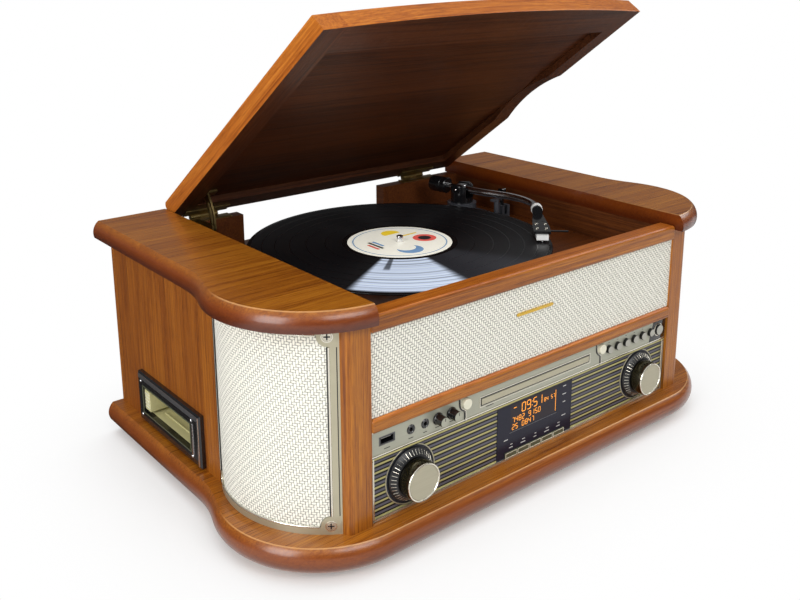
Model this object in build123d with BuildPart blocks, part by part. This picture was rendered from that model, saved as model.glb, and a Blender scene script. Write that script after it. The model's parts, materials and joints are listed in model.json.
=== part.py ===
"""Stereo music centre: wooden cabinet, turntable, CD tray, cassette deck and radio.

Frame: X to the right, front towards -Y, +Z up. The origin is on the floor,
under the middle of the plinth. Millimetres. The lid is drawn open, at rest.
"""

import os
from math import atan2, cos, degrees, hypot, radians, sin, sqrt

from build123d import *

os.makedirs("parts", exist_ok=True)

# ---------------------------------------------------------------- clearances
GAP = 0.3  # between pieces that move past each other
FIT = 0.05  # radial running fit of a shaft in its bush

# ---------------------------------------------------------------- cabinet
FOOT_H = 6.0
FOOT_R = 14.0
FOOT_SINK = 2.0
FOOT_IN = 50.0  # from the plinth's straight side to the middle of a foot
FOOT_BACK = 45.0  # from its front or rear edge
PLINTH_T = 25.0
PLINTH_CROWN = 3.0  # how far its half round edge would rise above its flat top
PLINTH_X = 267.0  # half width of the straight sides
PLINTH_FRONT = -183.0
PLINTH_REAR = 176.0
LOBE_X = 184.0  # centre of both corner lobes, plinth and wing
PLINTH_LOBE_R = 96.0
SIDE_T = 15.0
SIDE_X = 251.0  # outer face of the side panels
SIDE_FRONT = -28.0
SIDE_REAR = 175.0
SIDE_H = 172.8
WING_T = 16.2
WING_CROWN = 2.5  # how far its half round edge would rise above its top
WING_UNDERCUT = 9.3  # and how far it would reach below its underside
WING_X = 265.5
WING_IN = 190.0  # inner edge, the side of the turntable well
WING_REAR = 180.0
WING_FRONT = -174.0
WING_LOBE_R = 94.0
EDGE_FLAT = 0.05  # left at the middle of a half round edge
SHOULDER_R = 120.0  # hollow curve between the straight side and the lobe

POST_W = 24.0
POST_D = 18.0
POST_FRONT = -163.0
POST_ROUND = 7.0
RAIL_D = 16.0
RAIL_FRONT = -164.5
TOP_RAIL_H = 15.0
TOP_RAIL_RISE = 4.7  # the top rail stands this far above the posts
MID_RAIL_H = 12.0
MID_RAIL_Z = 110.5
RAIL_ROUND = 3.0

DECK_DROP = 31.8  # the deck lies this far below the top of the side panels
DECK_T = 9.0
WELL_T = 10.0
WELL_DROP = 20.0  # the well boards reach this far under the deck
BLOCK_D = 14.0
BLOCK_H = 33.0
BLOCK_REAR = 172.5
BLOCK_LEFT_END = -113.0
BLOCK_RIGHT_END = 74.0
BACK_T = 6.0
BACK_FACE = 171.0

# ---------------------------------------------------------------- speakers
GRILLE_R = 95.5
GRILLE_SET = 1.0  # its rear end lies this far inside the side panel's face
GRILLE_T = 3.5
GRILLE_BORDER = 6.5
CLOTH_T = 3.5
CLOTH_RISE = 2.6
EAR_R = 8.0
EAR_IN = 9.0  # along the frame, from its end to the screw
EAR_UP = 1.0  # from the corner of the frame's window to the screw
SCREW_R = 3.6
SCREW_RISE = 0.4
SCREW_T = 2.0
SCREW_CROSS = (4.2, 0.8)
BAFFLE_T = 8.0
BAFFLE_IN = 4.0  # the baffle laps the post and the side panel by this much
DRIVER_R = 40.0
DRIVER_DROP = 25.0  # from the foot of the well boards to the driver's middle
DRIVER_DEPTH = 34.0
DRIVER_FLANGE = 3.0
MAGNET_R = 24.0

# ---------------------------------------------------------------- fascia
FASCIA_FACE = -160.0
FASCIA_T = 6.0
FASCIA_EDGE = 2.4
FASCIA_LIP = 0.8  # the frame's bottom edge
STRIP_Z = 87.0  # lower edge of the control strip
STRIPED_SINK = 1.6
STRIPED_T = 3.0
CONTROL_Z = 100.0
CLOTH_PANEL_T = 6.0
CLOTH_PANEL_SINK = 3.5
TRAY_DOOR_W = 140.0
TRAY_DOOR_H = 5.4
TRAY_DOOR_T = 3.4
TRAY_DOOR_RISE = 0.6
TRAY_Z = 98.7
TRAY_W = 129.0
TRAY_L = 140.0
TRAY_T = 4.4
DISC_R = 60.6
DISC_SINK = 1.6
LOADER_W = 148.0
LOADER_H = 20.0
LOADER_L = 158.0
LOADER_DROP = 6.0  # its floor lies this far below the tray's door
LOADER_WALL = 4.0
WINDOW_W = 98.0
WINDOW_RISE = 0.6
WINDOW_T = 2.6
LCD_W = 64.0
LCD_H = 26.0
LCD_Z = 70.0
KEY_COUNT = 5
KEY_W = 15.1
KEY_H = 5.4
KEY_PITCH = 15.7
KEY_Z = 35.2
KEY_L = 9.0
KEY_RISE = 0.9
KEY_TRAVEL = 1.0
PRESET_COUNT = 6
PRESET_R = 4.0
PRESET_X = 100.0
PRESET_PITCH = 13.1
BUTTON_RISE = 3.0
BUTTON_TRAVEL = 1.0
ROUND_R = 4.8
ROUND_X = 88.5
ROUND_Z = 103.4
POWER_R = 5.4
POWER_X = 178.0
COLLAR_T = 1.2  # flange that keeps a button in its hole
COLLAR_OUT = 1.0
KNOB_X = 148.0
KNOB_Z = 59.5
KNOB_R = 16.8
KNOB_L = 18.0
SKIRT_R = 23.0
SKIRT_L = 5.5
SHAFT_R = 3.0
TONE_X = (-120.0, -105.0)
TONE_R = 6.3
TONE_CAP_R = 5.0
TONE_L = 11.0
TONE_TAIL = 0.7  # of the shaft, behind the fascia
USB_X = -173.0
USB_W = 15.0
USB_H = 6.4
USB_PORT = (12.6, 4.8, 9.0)
JACK_X = (-148.5, -133.5)
JACK_R = 3.8
JACK_BORE = 1.8
JACK_RISE = 0.4
JACK_DEPTH = 10.0
BOARD_T = 1.6
BOARD_FACE = -148.0  # front of the boards behind the fascia
SWITCH_R = 1.7

# ---------------------------------------------------------------- cassette deck
BEZEL_L = 125.0
BEZEL_H = 50.0
BEZEL_T = 5.0
BEZEL_Y = 59.5
BEZEL_Z = 58.0
SLOT_L = 96.0
SLOT_H = 26.0
SLOT_Y = 63.0
SLOT_Z = 57.0
MECH_D = 105.0
MECH_WALL = 3.0
EJECT_L = 11.0
EJECT_H = 20.0
EJECT_D = 26.0
EJECT_SINK = 1.5
EJECT_ROD_R = 2.5
EJECT_TRAVEL = 3.0

# ---------------------------------------------------------------- turntable
PLATTER_X = -25.0
PLATTER_Y = 6.0
PLATTER_R = 140.0
PLATTER_RISE = 20.5  # above the deck
PLATTER_PLATE = 5.0
PLATTER_SKIRT = 13.0
HUB_R = 60.0
HUB_T = 4.0
RECORD_R = 150.5
RECORD_T = 1.5
RECORD_BORE = 3.65
SPINDLE_R = 3.5
SPINDLE_RISE = 6.5
SHOULDER = 12.0  # boss round the spindle, under the platter
BUSH_R = 9.0
BUSH_DROP = 16.0
BUSH_FLOOR = 2.0
PULLEY_R = 5.0
PULLEY_H = 7.0
PULLEY_REACH = 98.0
PULLEY_ANGLE = 135.0
BELT_T = 1.0
BELT_H = 4.0
MOTOR_R = 17.0
MOTOR_H = 24.0
MOTOR_SHAFT_R = 1.0

# ---------------------------------------------------------------- tonearm
ARM_X = 140.0
ARM_Y = 94.0
ARM_RISE = 34.0  # the tube's axis above the deck
PEDESTAL_R = 17.0
PEDESTAL_H = 18.0
ARM_BACK = 102.0  # degrees, the way the counterweight points
ARM_PLATE = (50.0, 70.0, 3.0)
ARM_PLATE_OUT = 8.0  # its middle lies this far to the right of the arm's axis
ARM_PLATE_BEHIND = 20.0  # it reaches this far behind the axis
ARM_PLATE_ROUND = 6.0
YOKE_R = 13.0
YOKE_RISE = 39.5  # its top above the deck
YOKE_FLOOR = 6.0
YOKE_SLOT = 15.0
SWING_PIN_R = 4.0
SWING_PIN_L = 10.0
TRUNNION_R = 1.5
PIVOT_BLOCK = (9.0, 13.0, 10.0)
TUBE_R = 4.0
TUBE_BEND = ((143.5, 64.0), (154.0, 30.0), (150.0, -8.0))
COLLAR_END = (134.5, -29.5)
STYLUS = (82.0, -86.0)
ARM_COLLAR_R = 5.6
ARM_COLLAR_L = 6.0
SHELL_W = 17.0
SHELL_T = 3.0
SHELL_NECK = 5.0
SHELL_SQUARE = 22.0  # behind the stylus, where the taper ends
SHELL_END = 3.0  # behind the stylus
FINGER = (3.0, 20.0, 1.0)
FINGER_LAP = 2.0
FINGER_BACK = 12.0
CARTRIDGE = (12.0, 16.0)
CARTRIDGE_BACK = 6.0  # its middle lies this far behind the stylus
STYLUS_GAP = 0.5
WEIGHT_R = 8.5
WEIGHT_L = 22.0
WEIGHT_START = 21.0
REST_X = 149.5
REST_Y = 46.0
REST_R = 3.0
REST_T = 2.5
REST_HOOK = (8.0, 6.0)
LEVER_X = 172.0
LEVER_Y = 60.0
LEVER_BLOCK = (12.0, 14.0, 16.0)
LEVER_AXIS = 11.0  # above the deck
LEVER_PIN_R = 1.5
LEVER_HUB_R = 4.0
LEVER_T = 4.0
LEVER_L = 21.0
LEVER_TIP = (7.0, 6.0)
SPEED_X = 110.0
SPEED_Y = 124.0
SPEED_R = 7.0
SPEED_T = 3.0
SPEED_REACH = 11.0
SPEED_KNOB = (2.2, 11.0)
SPEED_PIN_R = 2.0
SPEED_PIN_L = 5.0

# ---------------------------------------------------------------- lid
LID_OPEN = 36.0  # degrees
HINGE_Y = 176.0
HINGE_R = 3.0
HINGE_PIN_R = 1.2
LEAF_T = 1.4
LEAF_L = 50.0
LEAF_D = 11.0
KNUCKLE_L = 10.0
HINGE_IN = (38.5, 56.5)  # from the lid's sides to the hinges, left and right
LID_HALF_W = 188.5
LID_LEN = 352.0  # from the hinge axis to the front corners
LID_BOW = 11.5  # the front edge is curved by this much more
LID_T = 17.0
LID_REAR = 4.0
LID_SIDE_BORDER = 21.5
LID_REAR_BORDER = 28.0
LID_FRONT_BORDER = 35.0
LID_RECESS = 7.0
ARCH_Y = 181.0
ARCH_L = 96.0
ARCH_H = 6.5
LID_ROUND = 4.0  # rear edge, on top
LID_SLOPE = 6.0  # the front edge leans back by this much at the top
CORNER_BLOCK = 12.0
STAY_IN = 28.5  # from the lid's left side
STAY_R = 40.0
STAY_W = 9.0
STAY_T = 2.0
STAY_PIN_R = 1.6
STAY_FROM = 145.0  # degrees round the hinge axis, measured from +Y
STAY_END = 3.0
STAY_FOOT_W = 12.0
BRACKET_W = 8.0
BRACKET_FOOT = (12.0, 13.0)

# ---------------------------------------------------------------- rear panel
MAINS_X = -150.0
RCA_X = (60.0, 76.0)
AERIAL_X = 130.0
REAR_SOCKET_Z = 70.0
MAINS_W = 22.0
MAINS_H = 14.0
MAINS_SLOT = (14.0, 8.0)
MAINS_DEPTH = 11.0
MAINS_BODY = 13.0  # behind the panel
RCA_R = 5.0
RCA_TIP_R = 4.1
RCA_TIP_L = 9.0
RCA_BORE_R = 1.6
VENT_COUNT = 7
VENT_PITCH = 12.0
VENT_W = 3.0
VENT_L = 30.0
VENT_Z = 115.0

# ---------------------------------------------------------------- circuit boards
STRIP_BOARD = (77.0, 187.0)
BOARD_MARGIN = 1.0
ENCODER = 13.0
ENCODER_T = 5.0
STAND_OFF_R = 2.5
BRIDGE = (3.0, 2.6)  # spacers between the fascia and the boards behind it
TRANSFORMER = (62.0, 50.0, 46.0)
TRANSFORMER_IN = (34.0, 20.0)  # from the right side panel and from the rear panel
MAIN_BOARD = (150.0, 110.0)
MAIN_BOARD_Y = 100.0
MAIN_POST_R = 3.0
MAIN_POST_H = 6.0
HEAT_SINK = (60.0, 16.0, 22.4)
CAPACITORS = (36.0, 24.0, 6.4)
CAPACITORS_AT = (48.0, 32.0)

# ---------------------------------------------------------------- worked out
plinth_top = FOOT_H + PLINTH_T
side_top = plinth_top + SIDE_H
wing_top = side_top + WING_T
foot_x = PLINTH_X - FOOT_IN
foot_y = (PLINTH_FRONT + FOOT_BACK, PLINTH_REAR - FOOT_BACK)
foot_places = [(x, y) for x in (-foot_x, foot_x) for y in foot_y]
wing_lobe_y = WING_FRONT + WING_LOBE_R
plinth_lobe_y = PLINTH_FRONT + PLINTH_LOBE_R
side_in = SIDE_X - SIDE_T
post_out = WING_IN + POST_W
post_rear = POST_FRONT + POST_D
rail_rear = RAIL_FRONT + RAIL_D
top_rail_top = side_top + TOP_RAIL_RISE
top_rail_low = top_rail_top - TOP_RAIL_H
mid_rail_top = MID_RAIL_Z + MID_RAIL_H
deck_top = side_top - DECK_DROP
deck_low = deck_top - DECK_T
well_low = deck_low - WELL_DROP
block_front = BLOCK_REAR - BLOCK_D
block_top = deck_top + BLOCK_H
back_in = BACK_FACE - BACK_T
lid_low = top_rail_top + GAP  # underside of the closed lid
hinge_z = (block_top + lid_low) / 2
lid_lift = lid_low - hinge_z
fascia_half = WING_IN - GAP
fascia_back = FASCIA_FACE + FASCIA_T
striped_face = FASCIA_FACE + STRIPED_SINK
striped_back = striped_face + STRIPED_T
window_back = striped_face - WINDOW_RISE + WINDOW_T
pocket_half = fascia_half - FASCIA_EDGE
pocket_low = plinth_top + FASCIA_LIP
pocket_top = STRIP_Z - FASCIA_EDGE
slot_y = (SLOT_Y - SLOT_L / 2, SLOT_Y + SLOT_L / 2)
slot_z = (SLOT_Z - SLOT_H / 2, SLOT_Z + SLOT_H / 2)
driver_z = well_low - DRIVER_DROP
platter_top = deck_top + PLATTER_RISE
record_top = platter_top + RECORD_T
platter_low = platter_top - PLATTER_SKIRT
pedestal_top = deck_top + PEDESTAL_H
arm_z = deck_top + ARM_RISE
yoke_top = deck_top + YOKE_RISE
lever_axis = deck_top + LEVER_AXIS
hinge_x = (HINGE_IN[0] - LID_HALF_W, LID_HALF_W - HINGE_IN[1])
stay_x = STAY_IN - LID_HALF_W
tray_front = FASCIA_FACE + TRAY_DOOR_T - TRAY_DOOR_RISE
button_rear = fascia_back + GAP + COLLAR_T
bush_low = deck_low - BUSH_DROP
pulley_x = PLATTER_X + PULLEY_REACH * cos(radians(PULLEY_ANGLE))
pulley_y = PLATTER_Y + PULLEY_REACH * sin(radians(PULLEY_ANGLE))
grille_from = (post_out, POST_FRONT + POST_ROUND)
grille_to = (SIDE_X - GRILLE_SET, SIDE_FRONT)
grille_run = (grille_to[0] - grille_from[0], grille_to[1] - grille_from[1])
chord = hypot(*grille_run)
centre_pull = sqrt(GRILLE_R**2 - chord**2 / 4) / chord
grille_x = (grille_from[0] + grille_to[0]) / 2 - grille_run[1] * centre_pull
grille_y = (grille_from[1] + grille_to[1]) / 2 + grille_run[0] * centre_pull
cloth_r = GRILLE_R - GRILLE_T
shell_turn = degrees(atan2(STYLUS[1] - COLLAR_END[1], STYLUS[0] - COLLAR_END[0]))


def front(y):
    """Plane facing the front, with its local axes along X and Z."""
    return Plane.XZ.offset(-y)


def level(z):
    return Plane.XY.offset(z)


def finish(piece, name):
    """Label one finished piece and write its STEP file."""
    piece.part.label = name
    export_step(piece.part, f"parts/{name}.step")


def lobed_outline(side_x, lobe_r, lobe_y, front_y, rear_y, inner_x):
    """Right part of a board with a straight side that swells into a corner lobe."""
    reach = side_x + SHOULDER_R - LOBE_X
    rise = sqrt((lobe_r + SHOULDER_R) ** 2 - reach**2)
    join = lobe_r / (lobe_r + SHOULDER_R)
    touch = (LOBE_X + reach * join, lobe_y + rise * join)
    start = (side_x, lobe_y + rise)
    with BuildLine() as line:
        Polyline((inner_x, front_y), (inner_x, rear_y), (side_x, rear_y), start)
        RadiusArc(start, touch, -SHOULDER_R)
        ThreePointArc(
            touch,
            (LOBE_X + lobe_r * cos(radians(-30)), lobe_y + lobe_r * sin(radians(-30))),
            (LOBE_X, front_y),
        )
        if inner_x < LOBE_X:
            Line((LOBE_X, front_y), (inner_x, front_y))
    make_face(line.edges())


def grille_band(r_out, r_in, inset):
    """Sketch of the curved wall between post and side panel, seen from above."""
    with Locations((grille_x, grille_y)):
        Circle(r_out)
        Circle(r_in, mode=Mode.SUBTRACT)
    low = POST_FRONT + inset
    high = SIDE_FRONT - inset
    left = post_out + inset
    right = grille_x + GRILLE_R + 1
    with Locations(((left + right) / 2, (low + high) / 2)):
        Rectangle(right - left, high - low, mode=Mode.INTERSECT)


def block(x, y, z):
    """Box between two limits along each axis, added to the open part."""
    centre = ((x[0] + x[1]) / 2, (y[0] + y[1]) / 2, (z[0] + z[1]) / 2)
    with Locations(centre):
        Box(abs(x[1] - x[0]), abs(y[1] - y[0]), abs(z[1] - z[0]))


def cut_block(x, y, z):
    centre = ((x[0] + x[1]) / 2, (y[0] + y[1]) / 2, (z[0] + z[1]) / 2)
    with Locations(centre):
        Box(abs(x[1] - x[0]), abs(y[1] - y[0]), abs(z[1] - z[0]), mode=Mode.SUBTRACT)


# ================================================================ cabinet
def round_edge(board, low, high, rear_y, inner_x):
    """Round a board's rim to a half circle, but for its rear and its inner side."""
    radius = (high - low) / 2 - EDGE_FLAT
    for z in (low, high):
        rim = board.edges().filter_by(lambda e: abs(e.center().Z - z) < EDGE_FLAT)
        rim = rim.filter_by(lambda e: e.center().Y < rear_y - 1 and e.center().X > inner_x)
        fillet(rim, radius)


with BuildPart() as base_plinth:
    with BuildSketch(level(FOOT_H)):
        lobed_outline(PLINTH_X, PLINTH_LOBE_R, plinth_lobe_y, PLINTH_FRONT, PLINTH_REAR, 0)
        mirror(about=Plane.YZ)
    extrude(amount=PLINTH_T + PLINTH_CROWN)
    round_edge(base_plinth, FOOT_H, plinth_top + PLINTH_CROWN, PLINTH_REAR, -LOBE_X - PLINTH_LOBE_R)
    split(bisect_by=level(plinth_top), keep=Keep.BOTTOM)
    with BuildSketch(level(FOOT_H)):
        with Locations(*foot_places):
            Circle(FOOT_R + GAP)
    extrude(amount=FOOT_SINK, mode=Mode.SUBTRACT)
finish(base_plinth, "base_plinth")

with BuildPart() as rubber_feet:
    with BuildSketch(level(0)):
        with Locations(*foot_places):
            Circle(FOOT_R)
    extrude(amount=FOOT_H + FOOT_SINK)
    chamfer(rubber_feet.edges().filter_by(lambda e: e.center().Z < 0.01), 1.0)
finish(rubber_feet, "rubber_feet")

with BuildPart() as side_panels:
    block((side_in, SIDE_X), (SIDE_FRONT, SIDE_REAR), (plinth_top, side_top))
    mirror(about=Plane.YZ)
    cut_block(
        (-SIDE_X - 1, -side_in + 1),
        (slot_y[0] - MECH_WALL - GAP, slot_y[1] + MECH_WALL + GAP),
        (slot_z[0] - MECH_WALL - GAP, slot_z[1] + MECH_WALL + GAP),
    )
finish(side_panels, "side_panels")

wing_round = (side_top - WING_UNDERCUT, wing_top + WING_CROWN)

with BuildPart() as top_wings:
    with BuildSketch(level(wing_round[0])):
        lobed_outline(WING_X, WING_LOBE_R, wing_lobe_y, WING_FRONT, WING_REAR, LOBE_X)
    extrude(amount=wing_round[1] - wing_round[0])
    round_edge(top_wings, *wing_round, WING_REAR, LOBE_X + 1)
    split(bisect_by=level(wing_top), keep=Keep.BOTTOM)
    split(bisect_by=level(side_top), keep=Keep.TOP)
    split(bisect_by=Plane.YZ.offset(WING_IN), keep=Keep.TOP)
    mirror(about=Plane.YZ)
finish(top_wings, "top_wings")

with BuildPart() as front_frame:
    block((-WING_IN, WING_IN), (RAIL_FRONT, rail_rear), (top_rail_low, top_rail_top))
    block((-WING_IN, WING_IN), (RAIL_FRONT, rail_rear), (MID_RAIL_Z, mid_rail_top))
    ends = front_frame.edges().filter_by(Axis.Z)
    fillet(ends.filter_by(lambda e: e.center().Y < RAIL_FRONT + 0.01), POST_FRONT - RAIL_FRONT)
    proud = front_frame.edges().filter_by(Axis.X)
    fillet(proud.filter_by(lambda e: e.center().Y < RAIL_FRONT + 0.01), RAIL_ROUND)
    with BuildSketch(level(plinth_top)) as posts:
        with Locations(((WING_IN + post_out) / 2, (POST_FRONT + post_rear) / 2)):
            Rectangle(POST_W, POST_D)
        outer_corner = posts.vertices().sort_by(Axis.Y)[:2].sort_by(Axis.X)[-1]
        fillet(outer_corner, POST_ROUND)
        mirror(about=Plane.YZ)
    extrude(amount=SIDE_H)
finish(front_frame, "front_frame")

with BuildPart() as well_frame:
    block((WING_IN, WING_IN + WELL_T), (post_rear, back_in), (well_low, side_top))
    mirror(about=Plane.YZ)
    block((-WING_IN, BLOCK_LEFT_END), (block_front, BLOCK_REAR), (deck_top, block_top))
    block((BLOCK_RIGHT_END, WING_IN), (block_front, BLOCK_REAR), (deck_top, block_top))
finish(well_frame, "well_frame")

with BuildPart() as deck_plate:
    block((-WING_IN, WING_IN), (rail_rear, BLOCK_REAR), (deck_low, deck_top))
    with BuildSketch(level(deck_top)):
        with Locations((PLATTER_X, PLATTER_Y)):
            Circle(BUSH_R)
    extrude(amount=bush_low - deck_top)
    with BuildSketch(level(deck_top + 1)):
        with Locations((PLATTER_X, PLATTER_Y)):
            Circle(SPINDLE_R + FIT)
    extrude(amount=bush_low + BUSH_FLOOR - deck_top - 1, mode=Mode.SUBTRACT)
    with BuildSketch(level(deck_top + 1)):
        with Locations((pulley_x, pulley_y)):
            Circle(MOTOR_SHAFT_R + 3)
    extrude(amount=-DECK_T - 2, mode=Mode.SUBTRACT)
    with BuildSketch(level(deck_top)):
        with Locations((SPEED_X, SPEED_Y)):
            Circle(SPEED_PIN_R + FIT)
    extrude(amount=-SPEED_PIN_L - GAP, mode=Mode.SUBTRACT)
finish(deck_plate, "deck_plate")

with BuildPart() as rear_panel:
    block((WING_IN, side_in), (back_in, BACK_FACE), (plinth_top, side_top))
    mirror(about=Plane.YZ)
    block((-WING_IN, WING_IN), (back_in, BACK_FACE), (plinth_top, deck_low))
    with BuildSketch(front(BACK_FACE + 1)):
        with Locations((MAINS_X, REAR_SOCKET_Z)):
            Rectangle(MAINS_W + 2 * FIT, MAINS_H + 2 * FIT)
        with Locations(*[(x, REAR_SOCKET_Z) for x in (*RCA_X, AERIAL_X)]):
            Circle(RCA_R + FIT)
        with Locations((0, VENT_Z)):
            with GridLocations(VENT_PITCH, 0, VENT_COUNT, 1):
                SlotOverall(VENT_L, VENT_W, rotation=90)
    extrude(amount=BACK_T + 2, mode=Mode.SUBTRACT)
finish(rear_panel, "rear_panel")

# ================================================================ speakers
grille_low = plinth_top
grille_top = side_top
window_low = grille_low + GRILLE_BORDER
window_top = grille_top - GRILLE_BORDER


def on_grille(angle, z):
    """Plane that faces outwards on the grille's curved face."""
    a = radians(angle)
    spot = (grille_x + GRILLE_R * cos(a), grille_y + GRILLE_R * sin(a), z)
    return Plane(origin=spot, x_dir=(-sin(a), cos(a), 0), z_dir=(cos(a), sin(a), 0))


ear_turn = degrees(EAR_IN / GRILLE_R)
front_ear = degrees(atan2(grille_from[1] - grille_y, grille_from[0] - grille_x)) + ear_turn
rear_ear = degrees(atan2(grille_to[1] - grille_y, grille_to[0] - grille_x)) - ear_turn
ear_places = [
    on_grille(angle, z)
    for angle in (front_ear, rear_ear)
    for z in (window_low + EAR_UP, window_top - EAR_UP)
]

with BuildPart() as speaker_frames:
    with BuildSketch(level(grille_low)):
        grille_band(GRILLE_R, GRILLE_R - GRILLE_T, 0)
    extrude(amount=grille_top - grille_low)
    with BuildSketch(level(window_low)):
        grille_band(GRILLE_R + 1, GRILLE_R - GRILLE_T - 1, GRILLE_BORDER)
    extrude(amount=window_top - window_low, mode=Mode.SUBTRACT)
    for place in ear_places:
        with BuildSketch(place):
            Circle(EAR_R)
        extrude(amount=-GRILLE_T)
    with BuildSketch(level(grille_low)):
        grille_band(GRILLE_R + 2, GRILLE_R - GRILLE_T, 0)
    extrude(amount=grille_top - grille_low, mode=Mode.INTERSECT)
    for place in ear_places:
        with BuildSketch(place.offset(1)):
            Circle(SCREW_R + FIT)
        extrude(amount=-SCREW_T + SCREW_RISE - 1, mode=Mode.SUBTRACT)
    mirror(about=Plane.YZ)
finish(speaker_frames, "speaker_frames")

with BuildPart() as grille_screws:
    for place in ear_places:
        with BuildSketch(place.offset(SCREW_RISE)):
            Circle(SCREW_R)
        extrude(amount=-SCREW_T)
        with BuildSketch(place.offset(SCREW_RISE)):
            Rectangle(*SCREW_CROSS)
            Rectangle(*SCREW_CROSS[::-1])
        extrude(amount=-SCREW_CROSS[1], mode=Mode.SUBTRACT)
    mirror(about=Plane.YZ)
finish(grille_screws, "grille_screws")

with BuildPart() as speaker_cloths:
    with BuildSketch(level(grille_low)):
        grille_band(cloth_r, cloth_r - CLOTH_T, 0)
    extrude(amount=grille_top - grille_low)
    with BuildSketch(level(window_low + GAP)):
        grille_band(cloth_r + CLOTH_RISE, cloth_r - 1, GRILLE_BORDER + GAP)
    extrude(amount=window_top - window_low - 2 * GAP)
    for place in ear_places:
        with BuildSketch(place.offset(-GRILLE_T)):
            Circle(EAR_R + GAP)
        extrude(amount=CLOTH_RISE + 1, mode=Mode.SUBTRACT)
    mirror(about=Plane.YZ)
finish(speaker_cloths, "speaker_cloths")

baffle_run = (side_in - post_out, SIDE_FRONT - post_rear)
baffle_w = hypot(*baffle_run)
baffle_dir = (baffle_run[0] / baffle_w, baffle_run[1] / baffle_w)
baffle_face = Plane(
    origin=((side_in + post_out) / 2 + BAFFLE_IN, (SIDE_FRONT + post_rear) / 2, driver_z),
    x_dir=(*baffle_dir, 0),
    z_dir=(baffle_dir[1], -baffle_dir[0], 0),
)

with BuildPart() as speaker_baffles:
    with BuildSketch(baffle_face):
        with Locations((0, (plinth_top + side_top) / 2 - driver_z)):
            Rectangle(baffle_w + 2 * BAFFLE_T, SIDE_H)
        Circle(DRIVER_R - 4, mode=Mode.SUBTRACT)
    extrude(amount=-BAFFLE_T)
    with BuildSketch(level(plinth_top)):
        with Locations((BAFFLE_IN + side_in, (post_rear + SIDE_FRONT) / 2)):
            Rectangle(4 * POST_W, SIDE_FRONT - post_rear)
        with Locations((grille_x, grille_y)):
            Circle(cloth_r - CLOTH_T - GAP, mode=Mode.INTERSECT)
    extrude(amount=SIDE_H, mode=Mode.INTERSECT)
    mirror(about=Plane.YZ)
finish(speaker_baffles, "speaker_baffles")

with BuildPart() as speaker_drivers:
    with BuildSketch(baffle_face):
        Circle(DRIVER_R)
    extrude(amount=DRIVER_FLANGE)
    with BuildSketch(baffle_face):
        Circle(DRIVER_R - 5)
    extrude(amount=-DRIVER_DEPTH / 2, taper=18)
    with BuildSketch(baffle_face):
        Circle(MAGNET_R)
    extrude(amount=-DRIVER_DEPTH)
    with BuildSketch(baffle_face.offset(DRIVER_FLANGE)):
        Circle(DRIVER_R - 7)
    extrude(amount=-DRIVER_DEPTH / 2, taper=35, mode=Mode.SUBTRACT)
    mirror(about=Plane.YZ)
finish(speaker_drivers, "speaker_drivers")

# ================================================================ front
with BuildPart() as front_cloth_panel:
    with BuildSketch(front(RAIL_FRONT + CLOTH_PANEL_SINK)):
        with Locations((0, (mid_rail_top + top_rail_low) / 2)):
            Rectangle(2 * WING_IN, top_rail_low - mid_rail_top)
    extrude(amount=-CLOTH_PANEL_T)
finish(front_cloth_panel, "front_cloth_panel")

preset_spots = [(PRESET_X + PRESET_PITCH * i, CONTROL_Z) for i in range(PRESET_COUNT)]
key_spots = [(KEY_PITCH * (i - (KEY_COUNT - 1) / 2), KEY_Z) for i in range(KEY_COUNT)]

with BuildPart() as fascia_moulding:
    block((-fascia_half, fascia_half), (FASCIA_FACE, fascia_back), (plinth_top, MID_RAIL_Z))
    cut_block((-pocket_half, pocket_half), (FASCIA_FACE - 1, fascia_back + 1), (pocket_low, pocket_top))
    with BuildSketch(front(FASCIA_FACE - 1)):
        with Locations((0, TRAY_Z)):
            Rectangle(TRAY_DOOR_W + 2 * GAP, TRAY_DOOR_H + 2 * GAP)
        with Locations(*preset_spots):
            Circle(PRESET_R + GAP)
        with Locations((-ROUND_X, ROUND_Z), (ROUND_X, ROUND_Z)):
            Circle(ROUND_R + GAP)
        with Locations((POWER_X, CONTROL_Z)):
            Circle(POWER_R + GAP)
        with Locations(*[(x, CONTROL_Z) for x in TONE_X]):
            Circle(SHAFT_R + GAP)
        with Locations((USB_X, CONTROL_Z)):
            Rectangle(USB_W + 2 * FIT, USB_H + 2 * FIT)
        with Locations(*[(x, CONTROL_Z) for x in JACK_X]):
            Circle(JACK_R + FIT)
    extrude(amount=-FASCIA_T - 2, mode=Mode.SUBTRACT)
finish(fascia_moulding, "fascia_moulding")

with BuildPart() as striped_panel:
    with BuildSketch(front(striped_face)):
        with Locations((0, (pocket_low + pocket_top) / 2)):
            Rectangle(2 * pocket_half, pocket_top - pocket_low)
            Rectangle(WINDOW_W, pocket_top - pocket_low, mode=Mode.SUBTRACT)
        with Locations((-KNOB_X, KNOB_Z), (KNOB_X, KNOB_Z)):
            Circle(SHAFT_R + GAP, mode=Mode.SUBTRACT)
    extrude(amount=-STRIPED_T)
finish(striped_panel, "striped_panel")

with BuildPart() as display_window:
    with BuildSketch(front(striped_face - WINDOW_RISE)):
        with Locations((0, (pocket_low + pocket_top) / 2)):
            Rectangle(WINDOW_W, pocket_top - pocket_low)
        with Locations(*key_spots):
            Rectangle(KEY_W + 2 * GAP, KEY_H + 2 * GAP, mode=Mode.SUBTRACT)
    extrude(amount=-WINDOW_T)
finish(display_window, "display_window")

for number, (x, z) in enumerate(key_spots, start=1):
    with BuildPart() as display_button:
        with BuildSketch(front(striped_face - WINDOW_RISE - KEY_RISE)):
            with Locations((x, z)):
                Rectangle(KEY_W, KEY_H)
        extrude(amount=-KEY_L)
    finish(display_button, f"display_button_{number}")


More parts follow.
